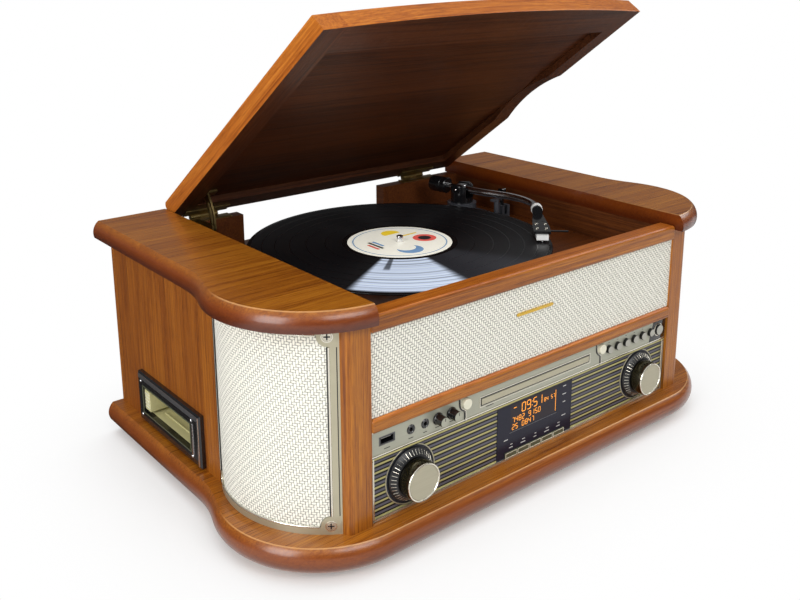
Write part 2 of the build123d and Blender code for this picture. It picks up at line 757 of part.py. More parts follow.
def round_button(x, z, r, rise):
    """Push button with a collar behind the fascia that keeps it in its hole."""
    with BuildPart() as button:
        with BuildSketch(front(FASCIA_FACE - rise)):
            with Locations((x, z)):
                Circle(r)
        extrude(amount=FASCIA_FACE - rise - button_rear)
        fillet(button.edges().sort_by(Axis.Y)[0], 0.6)
        with BuildSketch(front(fascia_back + GAP)):
            with Locations((x, z)):
                Circle(r + COLLAR_OUT)
        extrude(amount=-COLLAR_T)
    return button


for number, (x, z) in enumerate(preset_spots, start=1):
    finish(round_button(x, z, PRESET_R, BUTTON_RISE), f"preset_button_{number}")
finish(round_button(-ROUND_X, ROUND_Z, ROUND_R, BUTTON_RISE), "left_round_button")
finish(round_button(ROUND_X, ROUND_Z, ROUND_R, BUTTON_RISE), "right_round_button")
finish(round_button(POWER_X, CONTROL_Z, POWER_R, BUTTON_RISE), "power_button")


def big_knob(x):
    """Knob with a conical pointer skirt, turning on a shaft through the fascia."""
    back = striped_face - GAP
    with BuildPart() as knob:
        with BuildSketch(front(back)):
            with Locations((x, KNOB_Z)):
                Circle(SKIRT_R)
        extrude(amount=SKIRT_L, taper=35)
        with BuildSketch(front(back)):
            with Locations((x, KNOB_Z)):
                Circle(KNOB_R)
        extrude(amount=KNOB_L)
        fillet(knob.edges().sort_by(Axis.Y)[0], 0.8)
        with BuildSketch(front(back)):
            with Locations((x, KNOB_Z)):
                Circle(SHAFT_R)
        extrude(amount=-(BOARD_FACE - GAP - back - 5))
    return knob


def tone_knob(x):
    """Small knob, its cap narrower than its skirt, on a shaft through the strip."""
    with BuildPart() as knob:
        with BuildSketch(front(FASCIA_FACE - GAP)):
            with Locations((x, CONTROL_Z)):
                Circle(TONE_R)
        extrude(amount=TONE_L / 2)
        with BuildSketch(front(FASCIA_FACE - GAP)):
            with Locations((x, CONTROL_Z)):
                Circle(TONE_CAP_R)
        extrude(amount=TONE_L)
        with BuildSketch(front(FASCIA_FACE - GAP)):
            with Locations((x, CONTROL_Z)):
                Circle(SHAFT_R)
        extrude(amount=-(FASCIA_T + GAP + TONE_TAIL))
    return knob


finish(big_knob(-KNOB_X), "volume_knob")
finish(big_knob(KNOB_X), "tuning_knob")
finish(tone_knob(TONE_X[0]), "bass_knob")
finish(tone_knob(TONE_X[1]), "treble_knob")

# ================================================================ CD player
tray_back = tray_front + TRAY_L

with BuildPart() as cd_tray:
    block((-TRAY_W / 2, TRAY_W / 2), (tray_front, tray_back), (TRAY_Z - TRAY_T / 2, TRAY_Z + TRAY_T / 2))
    with BuildSketch(level(TRAY_Z + TRAY_T / 2)):
        with Locations((0, tray_front + DISC_R + 5)):
            Circle(DISC_R)
    extrude(amount=-DISC_SINK, mode=Mode.SUBTRACT)
    with BuildSketch(level(TRAY_Z + TRAY_T / 2)):
        with Locations((0, tray_front + DISC_R + 5)):
            Circle(18)
        with Locations((0, tray_front + DISC_R + 38)):
            Rectangle(36, 66)
    extrude(amount=-TRAY_T, mode=Mode.SUBTRACT)
finish(cd_tray, "cd_tray")

with BuildPart() as cd_tray_door:
    with BuildSketch(front(tray_front)):
        with Locations((0, TRAY_Z)):
            Rectangle(TRAY_DOOR_W, TRAY_DOOR_H)
    extrude(amount=TRAY_DOOR_T)
finish(cd_tray_door, "cd_tray_door")

loader_low = TRAY_Z - TRAY_DOOR_H / 2 - LOADER_DROP
loader_top = loader_low + LOADER_H
loader_back = fascia_back + LOADER_L

with BuildPart() as cd_loader:
    block((-LOADER_W / 2, LOADER_W / 2), (fascia_back, loader_back), (loader_low, loader_top))
    cut_block(
        (-TRAY_W / 2 - GAP, TRAY_W / 2 + GAP),
        (fascia_back - 1, loader_back - LOADER_WALL),
        (TRAY_Z - TRAY_T / 2 - GAP, TRAY_Z + TRAY_T / 2 + GAP),
    )
finish(cd_loader, "cd_loader")

# ================================================================ circuit boards
board_back = BOARD_FACE + BOARD_T
key_rear = striped_face - WINDOW_RISE - KEY_RISE + KEY_L
key_switch = key_rear + KEY_TRAVEL + GAP
button_switch = button_rear + BUTTON_TRAVEL + GAP

with BuildPart() as circuit_boards:
    # the display and knob board behind the striped panel
    low = pocket_low + BOARD_MARGIN
    high = loader_low - BOARD_MARGIN
    block((-pocket_half, pocket_half), (BOARD_FACE, board_back), (low, high))
    for x in (-KNOB_X, KNOB_X):
        block(
            (x - ENCODER / 2, x + ENCODER / 2),
            (BOARD_FACE - ENCODER_T, BOARD_FACE),
            (KNOB_Z - ENCODER / 2, KNOB_Z + ENCODER / 2),
        )
    block((-LCD_W / 2, LCD_W / 2), (window_back, BOARD_FACE), (LCD_Z - LCD_H / 2, LCD_Z + LCD_H / 2))
    inner, outer = WINDOW_W / 2 + 3 * STAND_OFF_R, pocket_half - 2 * STAND_OFF_R
    for x in (-outer, -inner, inner, outer):
        with BuildSketch(front(striped_back)):
            with Locations((x, high - 3 * STAND_OFF_R)):
                Circle(STAND_OFF_R)
        extrude(amount=-(BOARD_FACE - striped_back))
    with BuildSketch(front(key_switch)):
        with Locations(*key_spots):
            Circle(SWITCH_R)
    extrude(amount=key_switch - BOARD_FACE)
    # the boards behind the control strip
    for side in (-1, 1):
        x0, x1 = side * STRIP_BOARD[0], side * STRIP_BOARD[1]
        block((x0, x1), (BOARD_FACE, board_back), (loader_low, MID_RAIL_Z - BOARD_MARGIN))
        for x in (x0 + side * 2, x1 - side * 2):
            span = (x - BRIDGE[0] / 2, x + BRIDGE[0] / 2)
            block(span, (fascia_back, BOARD_FACE), (loader_low, loader_low + BRIDGE[1]))
    with BuildSketch(front(button_switch)):
        with Locations(*preset_spots, (POWER_X, CONTROL_Z), (-ROUND_X, ROUND_Z), (ROUND_X, ROUND_Z)):
            Circle(SWITCH_R)
    extrude(amount=button_switch - BOARD_FACE)
    for x in TONE_X:
        block(
            (x - ENCODER / 2, x + ENCODER / 2),
            (fascia_back + 1.0, BOARD_FACE),
            (CONTROL_Z - ENCODER / 2 + 1, CONTROL_Z + ENCODER / 2 - 1),
        )
    # the main board on its posts, and the mains transformer
    half_w = MAIN_BOARD[0] / 2
    half_d = MAIN_BOARD[1] / 2
    main_z = plinth_top + MAIN_POST_H
    main_top = main_z + BOARD_T
    block((-half_w, half_w), (MAIN_BOARD_Y - half_d, MAIN_BOARD_Y + half_d), (main_z, main_top))
    with BuildSketch(level(plinth_top)):
        with Locations((0, MAIN_BOARD_Y)):
            with GridLocations(MAIN_BOARD[0] - 4 * MAIN_POST_R, MAIN_BOARD[1] - 4 * MAIN_POST_R, 2, 2):
                Circle(MAIN_POST_R)
    extrude(amount=MAIN_POST_H)
    with BuildSketch(level(main_top)):
        with Locations((0, MAIN_BOARD_Y)):
            Rectangle(*HEAT_SINK[:2])
    extrude(amount=HEAT_SINK[2])
    with BuildSketch(level(main_top)):
        with Locations((CAPACITORS_AT[0], MAIN_BOARD_Y + CAPACITORS_AT[1])):
            Rectangle(*CAPACITORS[:2])
    extrude(amount=CAPACITORS[2])
    t_x = side_in - TRANSFORMER_IN[0]
    t_y = back_in - TRANSFORMER_IN[1]
    block(
        (t_x - TRANSFORMER[0], t_x),
        (t_y - TRANSFORMER[1], t_y),
        (plinth_top, plinth_top + TRANSFORMER[2]),
    )
finish(circuit_boards, "circuit_boards")

with BuildPart() as sockets:
    with BuildSketch(front(FASCIA_FACE)):
        with Locations((USB_X, CONTROL_Z)):
            Rectangle(USB_W, USB_H)
    extrude(amount=-(BOARD_FACE - FASCIA_FACE))
    with BuildSketch(front(FASCIA_FACE - 1)):
        with Locations((USB_X, CONTROL_Z)):
            Rectangle(*USB_PORT[:2])
    extrude(amount=-USB_PORT[2] - 1, mode=Mode.SUBTRACT)
    with BuildSketch(front(FASCIA_FACE - JACK_RISE)):
        with Locations(*[(x, CONTROL_Z) for x in JACK_X]):
            Circle(JACK_R)
    extrude(amount=-(BOARD_FACE - FASCIA_FACE) - JACK_RISE)
    with BuildSketch(front(FASCIA_FACE - 1)):
        with Locations(*[(x, CONTROL_Z) for x in JACK_X]):
            Circle(JACK_BORE)
    extrude(amount=-JACK_DEPTH - 1, mode=Mode.SUBTRACT)
    with BuildSketch(front(BACK_FACE + 1)):
        with Locations((MAINS_X, REAR_SOCKET_Z)):
            Rectangle(MAINS_W, MAINS_H)
    extrude(amount=BACK_T + MAINS_BODY)
    with BuildSketch(front(BACK_FACE + 1)):
        with Locations((MAINS_X, REAR_SOCKET_Z)):
            SlotOverall(*MAINS_SLOT)
    extrude(amount=MAINS_DEPTH - 1, mode=Mode.SUBTRACT)
    with BuildSketch(front(BACK_FACE + RCA_TIP_L)):
        with Locations(*[(x, REAR_SOCKET_Z) for x in (*RCA_X, AERIAL_X)]):
            Circle(RCA_TIP_R)
    extrude(amount=RCA_TIP_L + BACK_T)
    with BuildSketch(front(BACK_FACE + 1)):
        with Locations(*[(x, REAR_SOCKET_Z) for x in (*RCA_X, AERIAL_X)]):
            Circle(RCA_R)
    extrude(amount=BACK_T + RCA_TIP_L)
    with BuildSketch(front(BACK_FACE + RCA_TIP_L + 1)):
        with Locations(*[(x, REAR_SOCKET_Z) for x in (*RCA_X, AERIAL_X)]):
            Circle(RCA_BORE_R)
    extrude(amount=RCA_TIP_L, mode=Mode.SUBTRACT)
finish(sockets, "sockets")

# ================================================================ cassette deck
bezel_out = -SIDE_X - BEZEL_T
eject_y = (slot_y[1] - EJECT_L - GAP, slot_y[1] - GAP)

with BuildPart() as cassette_bezel:
    block(
        (bezel_out, -SIDE_X),
        (BEZEL_Y - BEZEL_L / 2, BEZEL_Y + BEZEL_L / 2),
        (BEZEL_Z - BEZEL_H / 2, BEZEL_Z + BEZEL_H / 2),
    )
    chamfer(cassette_bezel.edges().group_by(Axis.X)[0], 1.5)
    cut_block((bezel_out - 1, -SIDE_X + 1), slot_y, slot_z)
finish(cassette_bezel, "cassette_bezel")

with BuildPart() as cassette_mechanism:
    block(
        (-SIDE_X, -SIDE_X + MECH_D),
        (slot_y[0] - MECH_WALL, slot_y[1] + MECH_WALL),
        (slot_z[0] - MECH_WALL, slot_z[1] + MECH_WALL),
    )
    cut_block((-SIDE_X - 1, -SIDE_X + MECH_D - MECH_WALL), slot_y, slot_z)
finish(cassette_mechanism, "cassette_mechanism")

with BuildPart() as cassette_eject_button:
    eject_out = bezel_out + EJECT_SINK
    eject_back = eject_out + EJECT_D
    block((eject_out, eject_back), eject_y, (SLOT_Z - EJECT_H / 2, SLOT_Z + EJECT_H / 2))
    with BuildSketch(Plane.YZ.offset(eject_back)):
        with Locations(((eject_y[0] + eject_y[1]) / 2, SLOT_Z)):
            Circle(EJECT_ROD_R)
    extrude(amount=-SIDE_X + MECH_D - MECH_WALL - EJECT_TRAVEL - GAP - eject_back)
finish(cassette_eject_button, "cassette_eject_button")

# ================================================================ turntable
with BuildPart() as platter:
    with BuildSketch(level(platter_top)):
        with Locations((PLATTER_X, PLATTER_Y)):
            Circle(PLATTER_R)
    extrude(amount=-PLATTER_SKIRT)
    with BuildSketch(level(platter_low)):
        with Locations((PLATTER_X, PLATTER_Y)):
            Circle(PLATTER_R - 5)
            Circle(HUB_R, mode=Mode.SUBTRACT)
            Circle(HUB_R - HUB_T)
    extrude(amount=PLATTER_SKIRT - PLATTER_PLATE, mode=Mode.SUBTRACT)
    with BuildSketch(level(bush_low + BUSH_FLOOR + FIT)):
        with Locations((PLATTER_X, PLATTER_Y)):
            Circle(SPINDLE_R)
    extrude(amount=record_top + SPINDLE_RISE - bush_low - BUSH_FLOOR - FIT)
    fillet(platter.edges().sort_by(Axis.Z)[-1], 1.6)
    with BuildSketch(level(deck_top + GAP)):
        with Locations((PLATTER_X, PLATTER_Y)):
            Circle(SHOULDER)
    extrude(amount=platter_top - PLATTER_PLATE - deck_top - GAP)
finish(platter, "platter")

with BuildPart() as vinyl_record:
    with BuildSketch(level(platter_top)):
        with Locations((PLATTER_X, PLATTER_Y)):
            Circle(RECORD_R)
            Circle(RECORD_BORE, mode=Mode.SUBTRACT)
    extrude(amount=RECORD_T)
    rim = vinyl_record.edges().filter_by(lambda e: e.length > 2 * RECORD_R)
    fillet(rim, 0.5)
finish(vinyl_record, "vinyl_record")

belt_z = platter_low + 1
with BuildPart() as motor_pulley:
    with BuildSketch(level(belt_z - 1.5)):
        with Locations((pulley_x, pulley_y)):
            Circle(PULLEY_R)
    extrude(amount=PULLEY_H)
    with BuildSketch(level(deck_low + 1)):
        with Locations((pulley_x, pulley_y)):
            Circle(MOTOR_SHAFT_R)
    extrude(amount=belt_z - deck_low)
finish(motor_pulley, "motor_pulley")

with BuildPart() as drive_motor:
    with BuildSketch(level(deck_low)):
        with Locations((pulley_x, pulley_y)):
            Circle(MOTOR_R)
    extrude(amount=-MOTOR_H)
    with BuildSketch(level(deck_low)):
        with Locations((pulley_x, pulley_y)):
            Circle(3.2)
    extrude(amount=2.0)
    with BuildSketch(level(deck_low + 3)):
        with Locations((pulley_x, pulley_y)):
            Circle(MOTOR_SHAFT_R + FIT)
    extrude(amount=-4, mode=Mode.SUBTRACT)
finish(drive_motor, "drive_motor")


def belt_loop(extra):
    """Closed belt path round the hub and the pulley, widened by a little."""
    big = HUB_R + extra
    small = PULLEY_R + extra
    lean = degrees(atan2(big - small, sqrt(PULLEY_REACH**2 - (big - small) ** 2)))
    up = PULLEY_ANGLE + 90 - lean
    down = PULLEY_ANGLE - 90 + lean

    def at(cx, cy, r, angle):
        return (cx + r * cos(radians(angle)), cy + r * sin(radians(angle)))

    with BuildLine() as loop:
        a = at(PLATTER_X, PLATTER_Y, big, up)
        b = at(PLATTER_X, PLATTER_Y, big, PULLEY_ANGLE + 180)
        c = at(PLATTER_X, PLATTER_Y, big, down)
        d = at(pulley_x, pulley_y, small, down)
        e = at(pulley_x, pulley_y, small, PULLEY_ANGLE)
        f = at(pulley_x, pulley_y, small, up)
        ThreePointArc(a, b, c)
        Line(c, d)
        ThreePointArc(d, e, f)
        Line(f, a)
    make_face(loop.edges())


with BuildPart() as drive_belt:
    with BuildSketch(level(belt_z)):
        belt_loop(GAP + BELT_T)
    extrude(amount=BELT_H)
    with BuildSketch(level(belt_z)):
        belt_loop(GAP)
    extrude(amount=BELT_H, mode=Mode.SUBTRACT)
finish(drive_belt, "drive_belt")

# ================================================================ tonearm
rest_top = arm_z - TUBE_R - GAP - 0.5

with BuildPart() as tonearm_base:
    plate_x = ARM_X + ARM_PLATE_OUT
    plate_rear = ARM_Y + ARM_PLATE_BEHIND
    block(
        (plate_x - ARM_PLATE[0] / 2, plate_x + ARM_PLATE[0] / 2),
        (plate_rear - ARM_PLATE[1], plate_rear),
        (deck_top, deck_top + ARM_PLATE[2]),
    )
    fillet(tonearm_base.edges().filter_by(Axis.Z), ARM_PLATE_ROUND)
    with BuildSketch(level(deck_top)):
        with Locations((ARM_X, ARM_Y)):
            Circle(PEDESTAL_R)
    extrude(amount=PEDESTAL_H)
    with BuildSketch(level(pedestal_top)):
        with Locations((ARM_X, ARM_Y)):
            Circle(SWING_PIN_R + FIT)
    extrude(amount=-SWING_PIN_L, mode=Mode.SUBTRACT)
    with BuildSketch(level(deck_top)):
        with Locations((REST_X, REST_Y)):
            Circle(REST_R)
    extrude(amount=rest_top - deck_top)
    hook_x = (REST_X - REST_HOOK[0], REST_X + REST_HOOK[1])
    block(hook_x, (REST_Y - REST_T, REST_Y + REST_T), (rest_top - REST_T, rest_top))
    with BuildSketch(level(deck_top)):
        with Locations((LEVER_X, LEVER_Y)):
            Rectangle(*LEVER_BLOCK[:2])
    extrude(amount=LEVER_BLOCK[2])
    cut_block(
        (LEVER_X - LEVER_T / 2 - GAP, LEVER_X + LEVER_T / 2 + GAP),
        (LEVER_Y - LEVER_BLOCK[1], LEVER_Y + LEVER_BLOCK[1]),
        (lever_axis - LEVER_HUB_R - 2, deck_top + LEVER_BLOCK[2] + 1),
    )
    with BuildSketch(Plane.YZ.offset(LEVER_X - LEVER_BLOCK[0])):
        with Locations((LEVER_Y, lever_axis)):
            Circle(LEVER_PIN_R + FIT)
    extrude(amount=2 * LEVER_BLOCK[0], mode=Mode.SUBTRACT)
finish(tonearm_base, "tonearm_base")

arm_dir = (-cos(radians(ARM_BACK)), -sin(radians(ARM_BACK)))
arm_side = (-arm_dir[1], arm_dir[0])
slot_floor = pedestal_top + GAP + YOKE_FLOOR
arm_axis = Plane(origin=(ARM_X, ARM_Y, arm_z), x_dir=(0, 0, 1), z_dir=(arm_side[0], arm_side[1], 0))
arm_back = Plane(origin=(ARM_X, ARM_Y, arm_z), x_dir=(0, 0, 1), z_dir=(-arm_dir[0], -arm_dir[1], 0))

with BuildPart() as tonearm_yoke:
    with BuildSketch(level(pedestal_top + GAP)):
        with Locations((ARM_X, ARM_Y)):
            Circle(YOKE_R)
    extrude(amount=yoke_top - pedestal_top - GAP)
    fillet(tonearm_yoke.edges().sort_by(Axis.Z)[-1], 2)
    with BuildSketch(arm_back.offset(-YOKE_R - 5)):
        with Locations(((yoke_top + 2 + slot_floor) / 2 - arm_z, 0)):
            Rectangle(yoke_top + 2 - slot_floor, YOKE_SLOT)
    extrude(amount=2 * YOKE_R + 10, mode=Mode.SUBTRACT)
    with BuildSketch(arm_axis.offset(-YOKE_R - 1)):
        Circle(TRUNNION_R + FIT)
    extrude(amount=2 * YOKE_R + 2, mode=Mode.SUBTRACT)
    with BuildSketch(level(pedestal_top + GAP)):
        with Locations((ARM_X, ARM_Y)):
            Circle(SWING_PIN_R)
    extrude(amount=-SWING_PIN_L)
finish(tonearm_yoke, "tonearm_yoke")

with BuildPart() as tonearm_tube:
    with BuildLine() as arm_path:
        Spline(
            (ARM_X, ARM_Y, arm_z),
            *[(x, y, arm_z) for x, y in TUBE_BEND],
            (COLLAR_END[0], COLLAR_END[1], arm_z),
            tangents=[
                (arm_dir[0] * 0.2, arm_dir[1], 0),
                (cos(radians(shell_turn)), sin(radians(shell_turn)), 0),
            ],
        )
    with BuildSketch(Plane(origin=arm_path.wire() @ 0, z_dir=arm_path.wire() % 0)):
        Circle(TUBE_R)
    sweep()
    with BuildSketch(arm_back.offset(-PIVOT_BLOCK[2] / 2)):
        Rectangle(*PIVOT_BLOCK[:2])
    extrude(amount=PIVOT_BLOCK[2])
    with BuildSketch(arm_back):
        Circle(TUBE_R - 1)
    extrude(amount=WEIGHT_START + WEIGHT_L - 2)
    with BuildSketch(arm_axis.offset(-YOKE_R + 0.5)):
        Circle(TRUNNION_R)
    extrude(amount=2 * YOKE_R - 1)
finish(tonearm_tube, "tonearm_tube")

with BuildPart() as counterweight:
    with BuildSketch(arm_back.offset(WEIGHT_START)):
        Circle(WEIGHT_R)
    extrude(amount=WEIGHT_L)
    chamfer(counterweight.edges().filter_by(GeomType.CIRCLE), 0.8)
    with BuildSketch(arm_back.offset(WEIGHT_START - 1)):
        Circle(TUBE_R - 1)
    extrude(amount=WEIGHT_L - 1, mode=Mode.SUBTRACT)
finish(counterweight, "counterweight")

shell_dir = (cos(radians(shell_turn)), sin(radians(shell_turn)))
shell_face = Plane(
    origin=(COLLAR_END[0], COLLAR_END[1], arm_z),
    x_dir=(-shell_dir[1], shell_dir[0], 0),
    z_dir=(shell_dir[0], shell_dir[1], 0),
)
shell_top = Plane(
    origin=(COLLAR_END[0], COLLAR_END[1], arm_z - TUBE_R / 2),
    x_dir=(shell_dir[0], shell_dir[1], 0),
    z_dir=(0, 0, 1),
)
stylus_reach = hypot(STYLUS[0] - COLLAR_END[0], STYLUS[1] - COLLAR_END[1])

with BuildPart() as headshell:
    with BuildSketch(shell_face):
        Circle(ARM_COLLAR_R)
    extrude(amount=ARM_COLLAR_L)
    with BuildSketch(shell_top):
        with BuildLine():
            Polyline(
                (ARM_COLLAR_L - 1, SHELL_NECK),
                (stylus_reach - SHELL_SQUARE, SHELL_W / 2),
                (stylus_reach - SHELL_END, SHELL_W / 2),
                (stylus_reach - SHELL_END, -SHELL_W / 2),
                (stylus_reach - SHELL_SQUARE, -SHELL_W / 2),
                (ARM_COLLAR_L - 1, -SHELL_NECK),
                close=True,
            )
        make_face()
    extrude(amount=-SHELL_T)
    with BuildSketch(shell_top.offset(-SHELL_T / 2)):
        with Locations((stylus_reach - FINGER_BACK, (SHELL_W + FINGER[1]) / 2 - FINGER_LAP)):
            Rectangle(*FINGER[:2])
    extrude(amount=-FINGER[2])
finish(headshell, "headshell")

shell_low = arm_z - TUBE_R / 2 - SHELL_T
with BuildPart() as cartridge:
    with BuildSketch(shell_top.offset(-SHELL_T)):
        with Locations((stylus_reach - CARTRIDGE_BACK, 0)):
            Rectangle(CARTRIDGE[1], CARTRIDGE[0])
    extrude(amount=-(shell_low - record_top - STYLUS_GAP - 1.2))
    chamfer(cartridge.edges().group_by(Axis.Z)[0], 0.8)
    with BuildSketch(shell_top.offset(-SHELL_T)):
        with Locations((stylus_reach, 0)):
            Circle(0.6)
    extrude(amount=-(shell_low - record_top - STYLUS_GAP))
finish(cartridge, "cartridge")

with BuildPart() as cue_lever:
    with BuildSketch(Plane.YZ.offset(LEVER_X - LEVER_T / 2)):
        with Locations((LEVER_Y, lever_axis)):
            Circle(LEVER_HUB_R)
    extrude(amount=LEVER_T)
    with BuildSketch(Plane.YZ.offset(LEVER_X - LEVER_T / 2 + 0.5)):
        with Locations((LEVER_Y, lever_axis + LEVER_L / 2)):
            Rectangle(LEVER_T - 1, LEVER_L)
    extrude(amount=LEVER_T - 1)
    with BuildSketch(Plane.YZ.offset(LEVER_X - LEVER_TIP[1] / 2)):
        with Locations((LEVER_Y, lever_axis + LEVER_L)):
            RectangleRounded(*LEVER_TIP, LEVER_PIN_R)
    extrude(amount=LEVER_TIP[1])
    with BuildSketch(Plane.YZ.offset(LEVER_X - LEVER_BLOCK[0] / 2 + 0.5)):
        with Locations((LEVER_Y, lever_axis)):
            Circle(LEVER_PIN_R)
    extrude(amount=LEVER_BLOCK[0] - 1)
finish(cue_lever, "cue_lever")

with BuildPart() as speed_lever:
    with BuildSketch(level(deck_top + GAP)):
        with Locations((SPEED_X, SPEED_Y)):
            Circle(SPEED_R)
        with Locations((SPEED_X, SPEED_Y - SPEED_REACH / 2)):
            Rectangle(2 * SPEED_PIN_R, SPEED_REACH)
    extrude(amount=SPEED_T)
    with BuildSketch(level(deck_top + GAP)):
        with Locations((SPEED_X, SPEED_Y - SPEED_REACH)):
            Circle(SPEED_KNOB[0])
    extrude(amount=SPEED_KNOB[1])
    with BuildSketch(level(deck_top + GAP)):
        with Locations((SPEED_X, SPEED_Y)):
            Circle(SPEED_PIN_R)
    extrude(amount=-SPEED_PIN_L)
finish(speed_lever, "speed_lever")

# ================================================================ lid
lean = radians(LID_OPEN)
lid_base = Plane(
    origin=(0, HINGE_Y, hinge_z),
    x_dir=(1, 0, 0),
    z_dir=(0, sin(lean), cos(lean)),
)
lid_under = lid_base.offset(lid_lift)
window_front = -(LID_LEN - LID_FRONT_BORDER)
window_half = LID_HALF_W - LID_SIDE_BORDER


def lid_window():
    """The opening that the lid's inner panel fills."""
    with Locations((0, (window_front - LID_REAR_BORDER) / 2)):
        Rectangle(2 * window_half, -window_front - LID_REAR_BORDER)


arch_r = (ARCH_L**2 / 4 + ARCH_H**2) / (2 * ARCH_H)
arch_plane = Plane(
    origin=lid_under.from_local_coords((window_half - 1, -ARCH_Y, ARCH_H - arch_r)),
    x_dir=(0, sin(lean), cos(lean)),
    z_dir=(1, 0, 0),
)

with BuildPart() as lid_frame:
    with BuildSketch(lid_under):
        with BuildLine():
            Polyline(
                (-LID_HALF_W, -LID_LEN),
                (-LID_HALF_W, -LID_REAR),
                (LID_HALF_W, -LID_REAR),
                (LID_HALF_W, -LID_LEN),
            )
            ThreePointArc((LID_HALF_W, -LID_LEN), (0, -LID_LEN - LID_BOW), (-LID_HALF_W, -LID_LEN))
        make_face()
    extrude(amount=LID_T)
    bow_top = lid_frame.edges().filter_by(GeomType.CIRCLE).sort_by(Axis.Z)[-1]
    lid_front_face = lid_frame.faces().filter_by(GeomType.CYLINDER)[0]
    chamfer(bow_top, length=LID_T - 1, length2=LID_SLOPE, reference=lid_front_face)
    rear_top = lid_frame.edges().filter_by(Axis.X).sort_by(Axis.Y)[-1]
    fillet(rear_top, LID_ROUND)
    with BuildSketch(lid_under):
        lid_window()
    extrude(amount=LID_T, mode=Mode.SUBTRACT)
    with BuildSketch(arch_plane):
        Circle(arch_r)
    extrude(amount=LID_SIDE_BORDER + 2, mode=Mode.SUBTRACT)
    with BuildSketch(lid_under.offset(LID_RECESS)):
        with BuildLine():
            Polyline(
                (-window_half, -LID_REAR_BORDER),
                (-window_half + CORNER_BLOCK, -LID_REAR_BORDER),
                (-window_half, -LID_REAR_BORDER - CORNER_BLOCK),
                close=True,
            )
        make_face()
    extrude(amount=1 - LID_RECESS)
finish(lid_frame, "lid_frame")

with BuildPart() as lid_panel:
    with BuildSketch(lid_under.offset(LID_RECESS)):
        lid_window()
    extrude(amount=LID_T - LID_RECESS)
finish(lid_panel, "lid_panel")


def across_hinge(x):
    """Plane across the hinge axis, with its local axes along Y and Z."""
    return Plane(origin=(x, HINGE_Y, hinge_z), x_dir=(0, 1, 0), z_dir=(1, 0, 0))


slot_to = STAY_FROM + STAY_END + LID_OPEN + 1
pin_at = slot_to - 0.5


def stay_arc(a_from, a_to, half, mode=Mode.ADD):
    """Curved strap or slot round the hinge axis, with rounded ends."""
    low, mid, high = radians(a_from), radians((a_from + a_to) / 2), radians(a_to)
    with BuildLine() as arc:
        ThreePointArc(*[(STAY_R * cos(a), STAY_R * sin(a)) for a in (low, mid, high)])
    SlotArc(arc.edge(), 2 * half, mode=mode)


with BuildPart() as lid_fittings:
    for x in hinge_x:
        with BuildSketch(lid_under):
            with Locations((x, -LID_REAR - GAP - LEAF_D / 2)):
                Rectangle(LEAF_L, LEAF_D)
        extrude(amount=-LEAF_T)
        for middle in (x - KNUCKLE_L - GAP, x + KNUCKLE_L + GAP):
            with BuildSketch(across_hinge(middle - KNUCKLE_L / 2)):
                Circle(HINGE_R)
            extrude(amount=KNUCKLE_L)
            with BuildSketch(lid_under):
                with Locations((middle, -(LID_REAR + 1) / 2)):
                    Rectangle(KNUCKLE_L, LID_REAR + 1)
            extrude(amount=-LEAF_T)
            with BuildSketch(across_hinge(middle - KNUCKLE_L)):
                Circle(HINGE_PIN_R + FIT)
            extrude(amount=2 * KNUCKLE_L, mode=Mode.SUBTRACT)
    with BuildSketch(across_hinge(stay_x - STAY_T / 2)):
        stay_arc(STAY_FROM, slot_to, STAY_W / 2)
        stay_arc(STAY_FROM + STAY_END, slot_to, STAY_PIN_R + GAP, Mode.SUBTRACT)
    extrude(amount=STAY_T)
    foot_rise = LID_RECESS + lid_lift
    with BuildSketch(lid_under.offset(LID_RECESS)):
        with Locations((stay_x, -STAY_R)):
            Rectangle(STAY_T, STAY_W)
    extrude(amount=-foot_rise)
    with BuildSketch(lid_under.offset(LID_RECESS)):
        with Locations((stay_x + (STAY_FOOT_W - STAY_T) / 2, -STAY_R)):
            Rectangle(STAY_FOOT_W, STAY_W)
    extrude(amount=-STAY_T)
finish(lid_fittings, "lid_fittings")

with BuildPart() as cabinet_fittings:
    leaf_rear = HINGE_Y - LID_REAR - GAP
    leaf_z = (block_top, block_top + LEAF_T)
    for x in hinge_x:
        block((x - LEAF_L / 2, x + LEAF_L / 2), (leaf_rear - LEAF_D, leaf_rear), leaf_z)
        block((x - KNUCKLE_L / 2, x + KNUCKLE_L / 2), (leaf_rear - 1, HINGE_Y), leaf_z)
        with BuildSketch(across_hinge(x - KNUCKLE_L / 2)):
            Circle(HINGE_R)
        extrude(amount=KNUCKLE_L)
        with BuildSketch(across_hinge(x - 1.5 * KNUCKLE_L - GAP)):
            Circle(HINGE_PIN_R)
        extrude(amount=3 * KNUCKLE_L + 2 * GAP)
    # the bracket and pin that the slotted stay slides over
    pin_y = HINGE_Y + STAY_R * cos(radians(pin_at))
    pin_z = hinge_z + STAY_R * sin(radians(pin_at))
    side = stay_x - STAY_T / 2 - GAP
    half = BRACKET_W / 2
    block((side - STAY_T, side), (pin_y - half, block_front), (pin_z - half, pin_z + half))
    foot_top = pin_z + STAY_PIN_R * 2
    block(
        (side - BRACKET_FOOT[0], side),
        (block_front - STAY_T, block_front),
        (foot_top - BRACKET_FOOT[1], foot_top),
    )
    with BuildSketch(Plane.YZ.offset(side)):
        with Locations((pin_y, pin_z)):
            Circle(STAY_PIN_R)
    extrude(amount=STAY_T + 2 * GAP + STAY_PIN_R)
finish(cabinet_fittings, "cabinet_fittings")
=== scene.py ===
"""Looks of a stereo music centre: a wooden cabinet with record player, disc tray, cassette slot and radio.

Lengths are in millimetres until a mesh is finished, and X is right, Y back and Z up.
"""

import json
from math import cos, pi, radians, sin

import bmesh
import bpy
from mathutils import Matrix, Vector


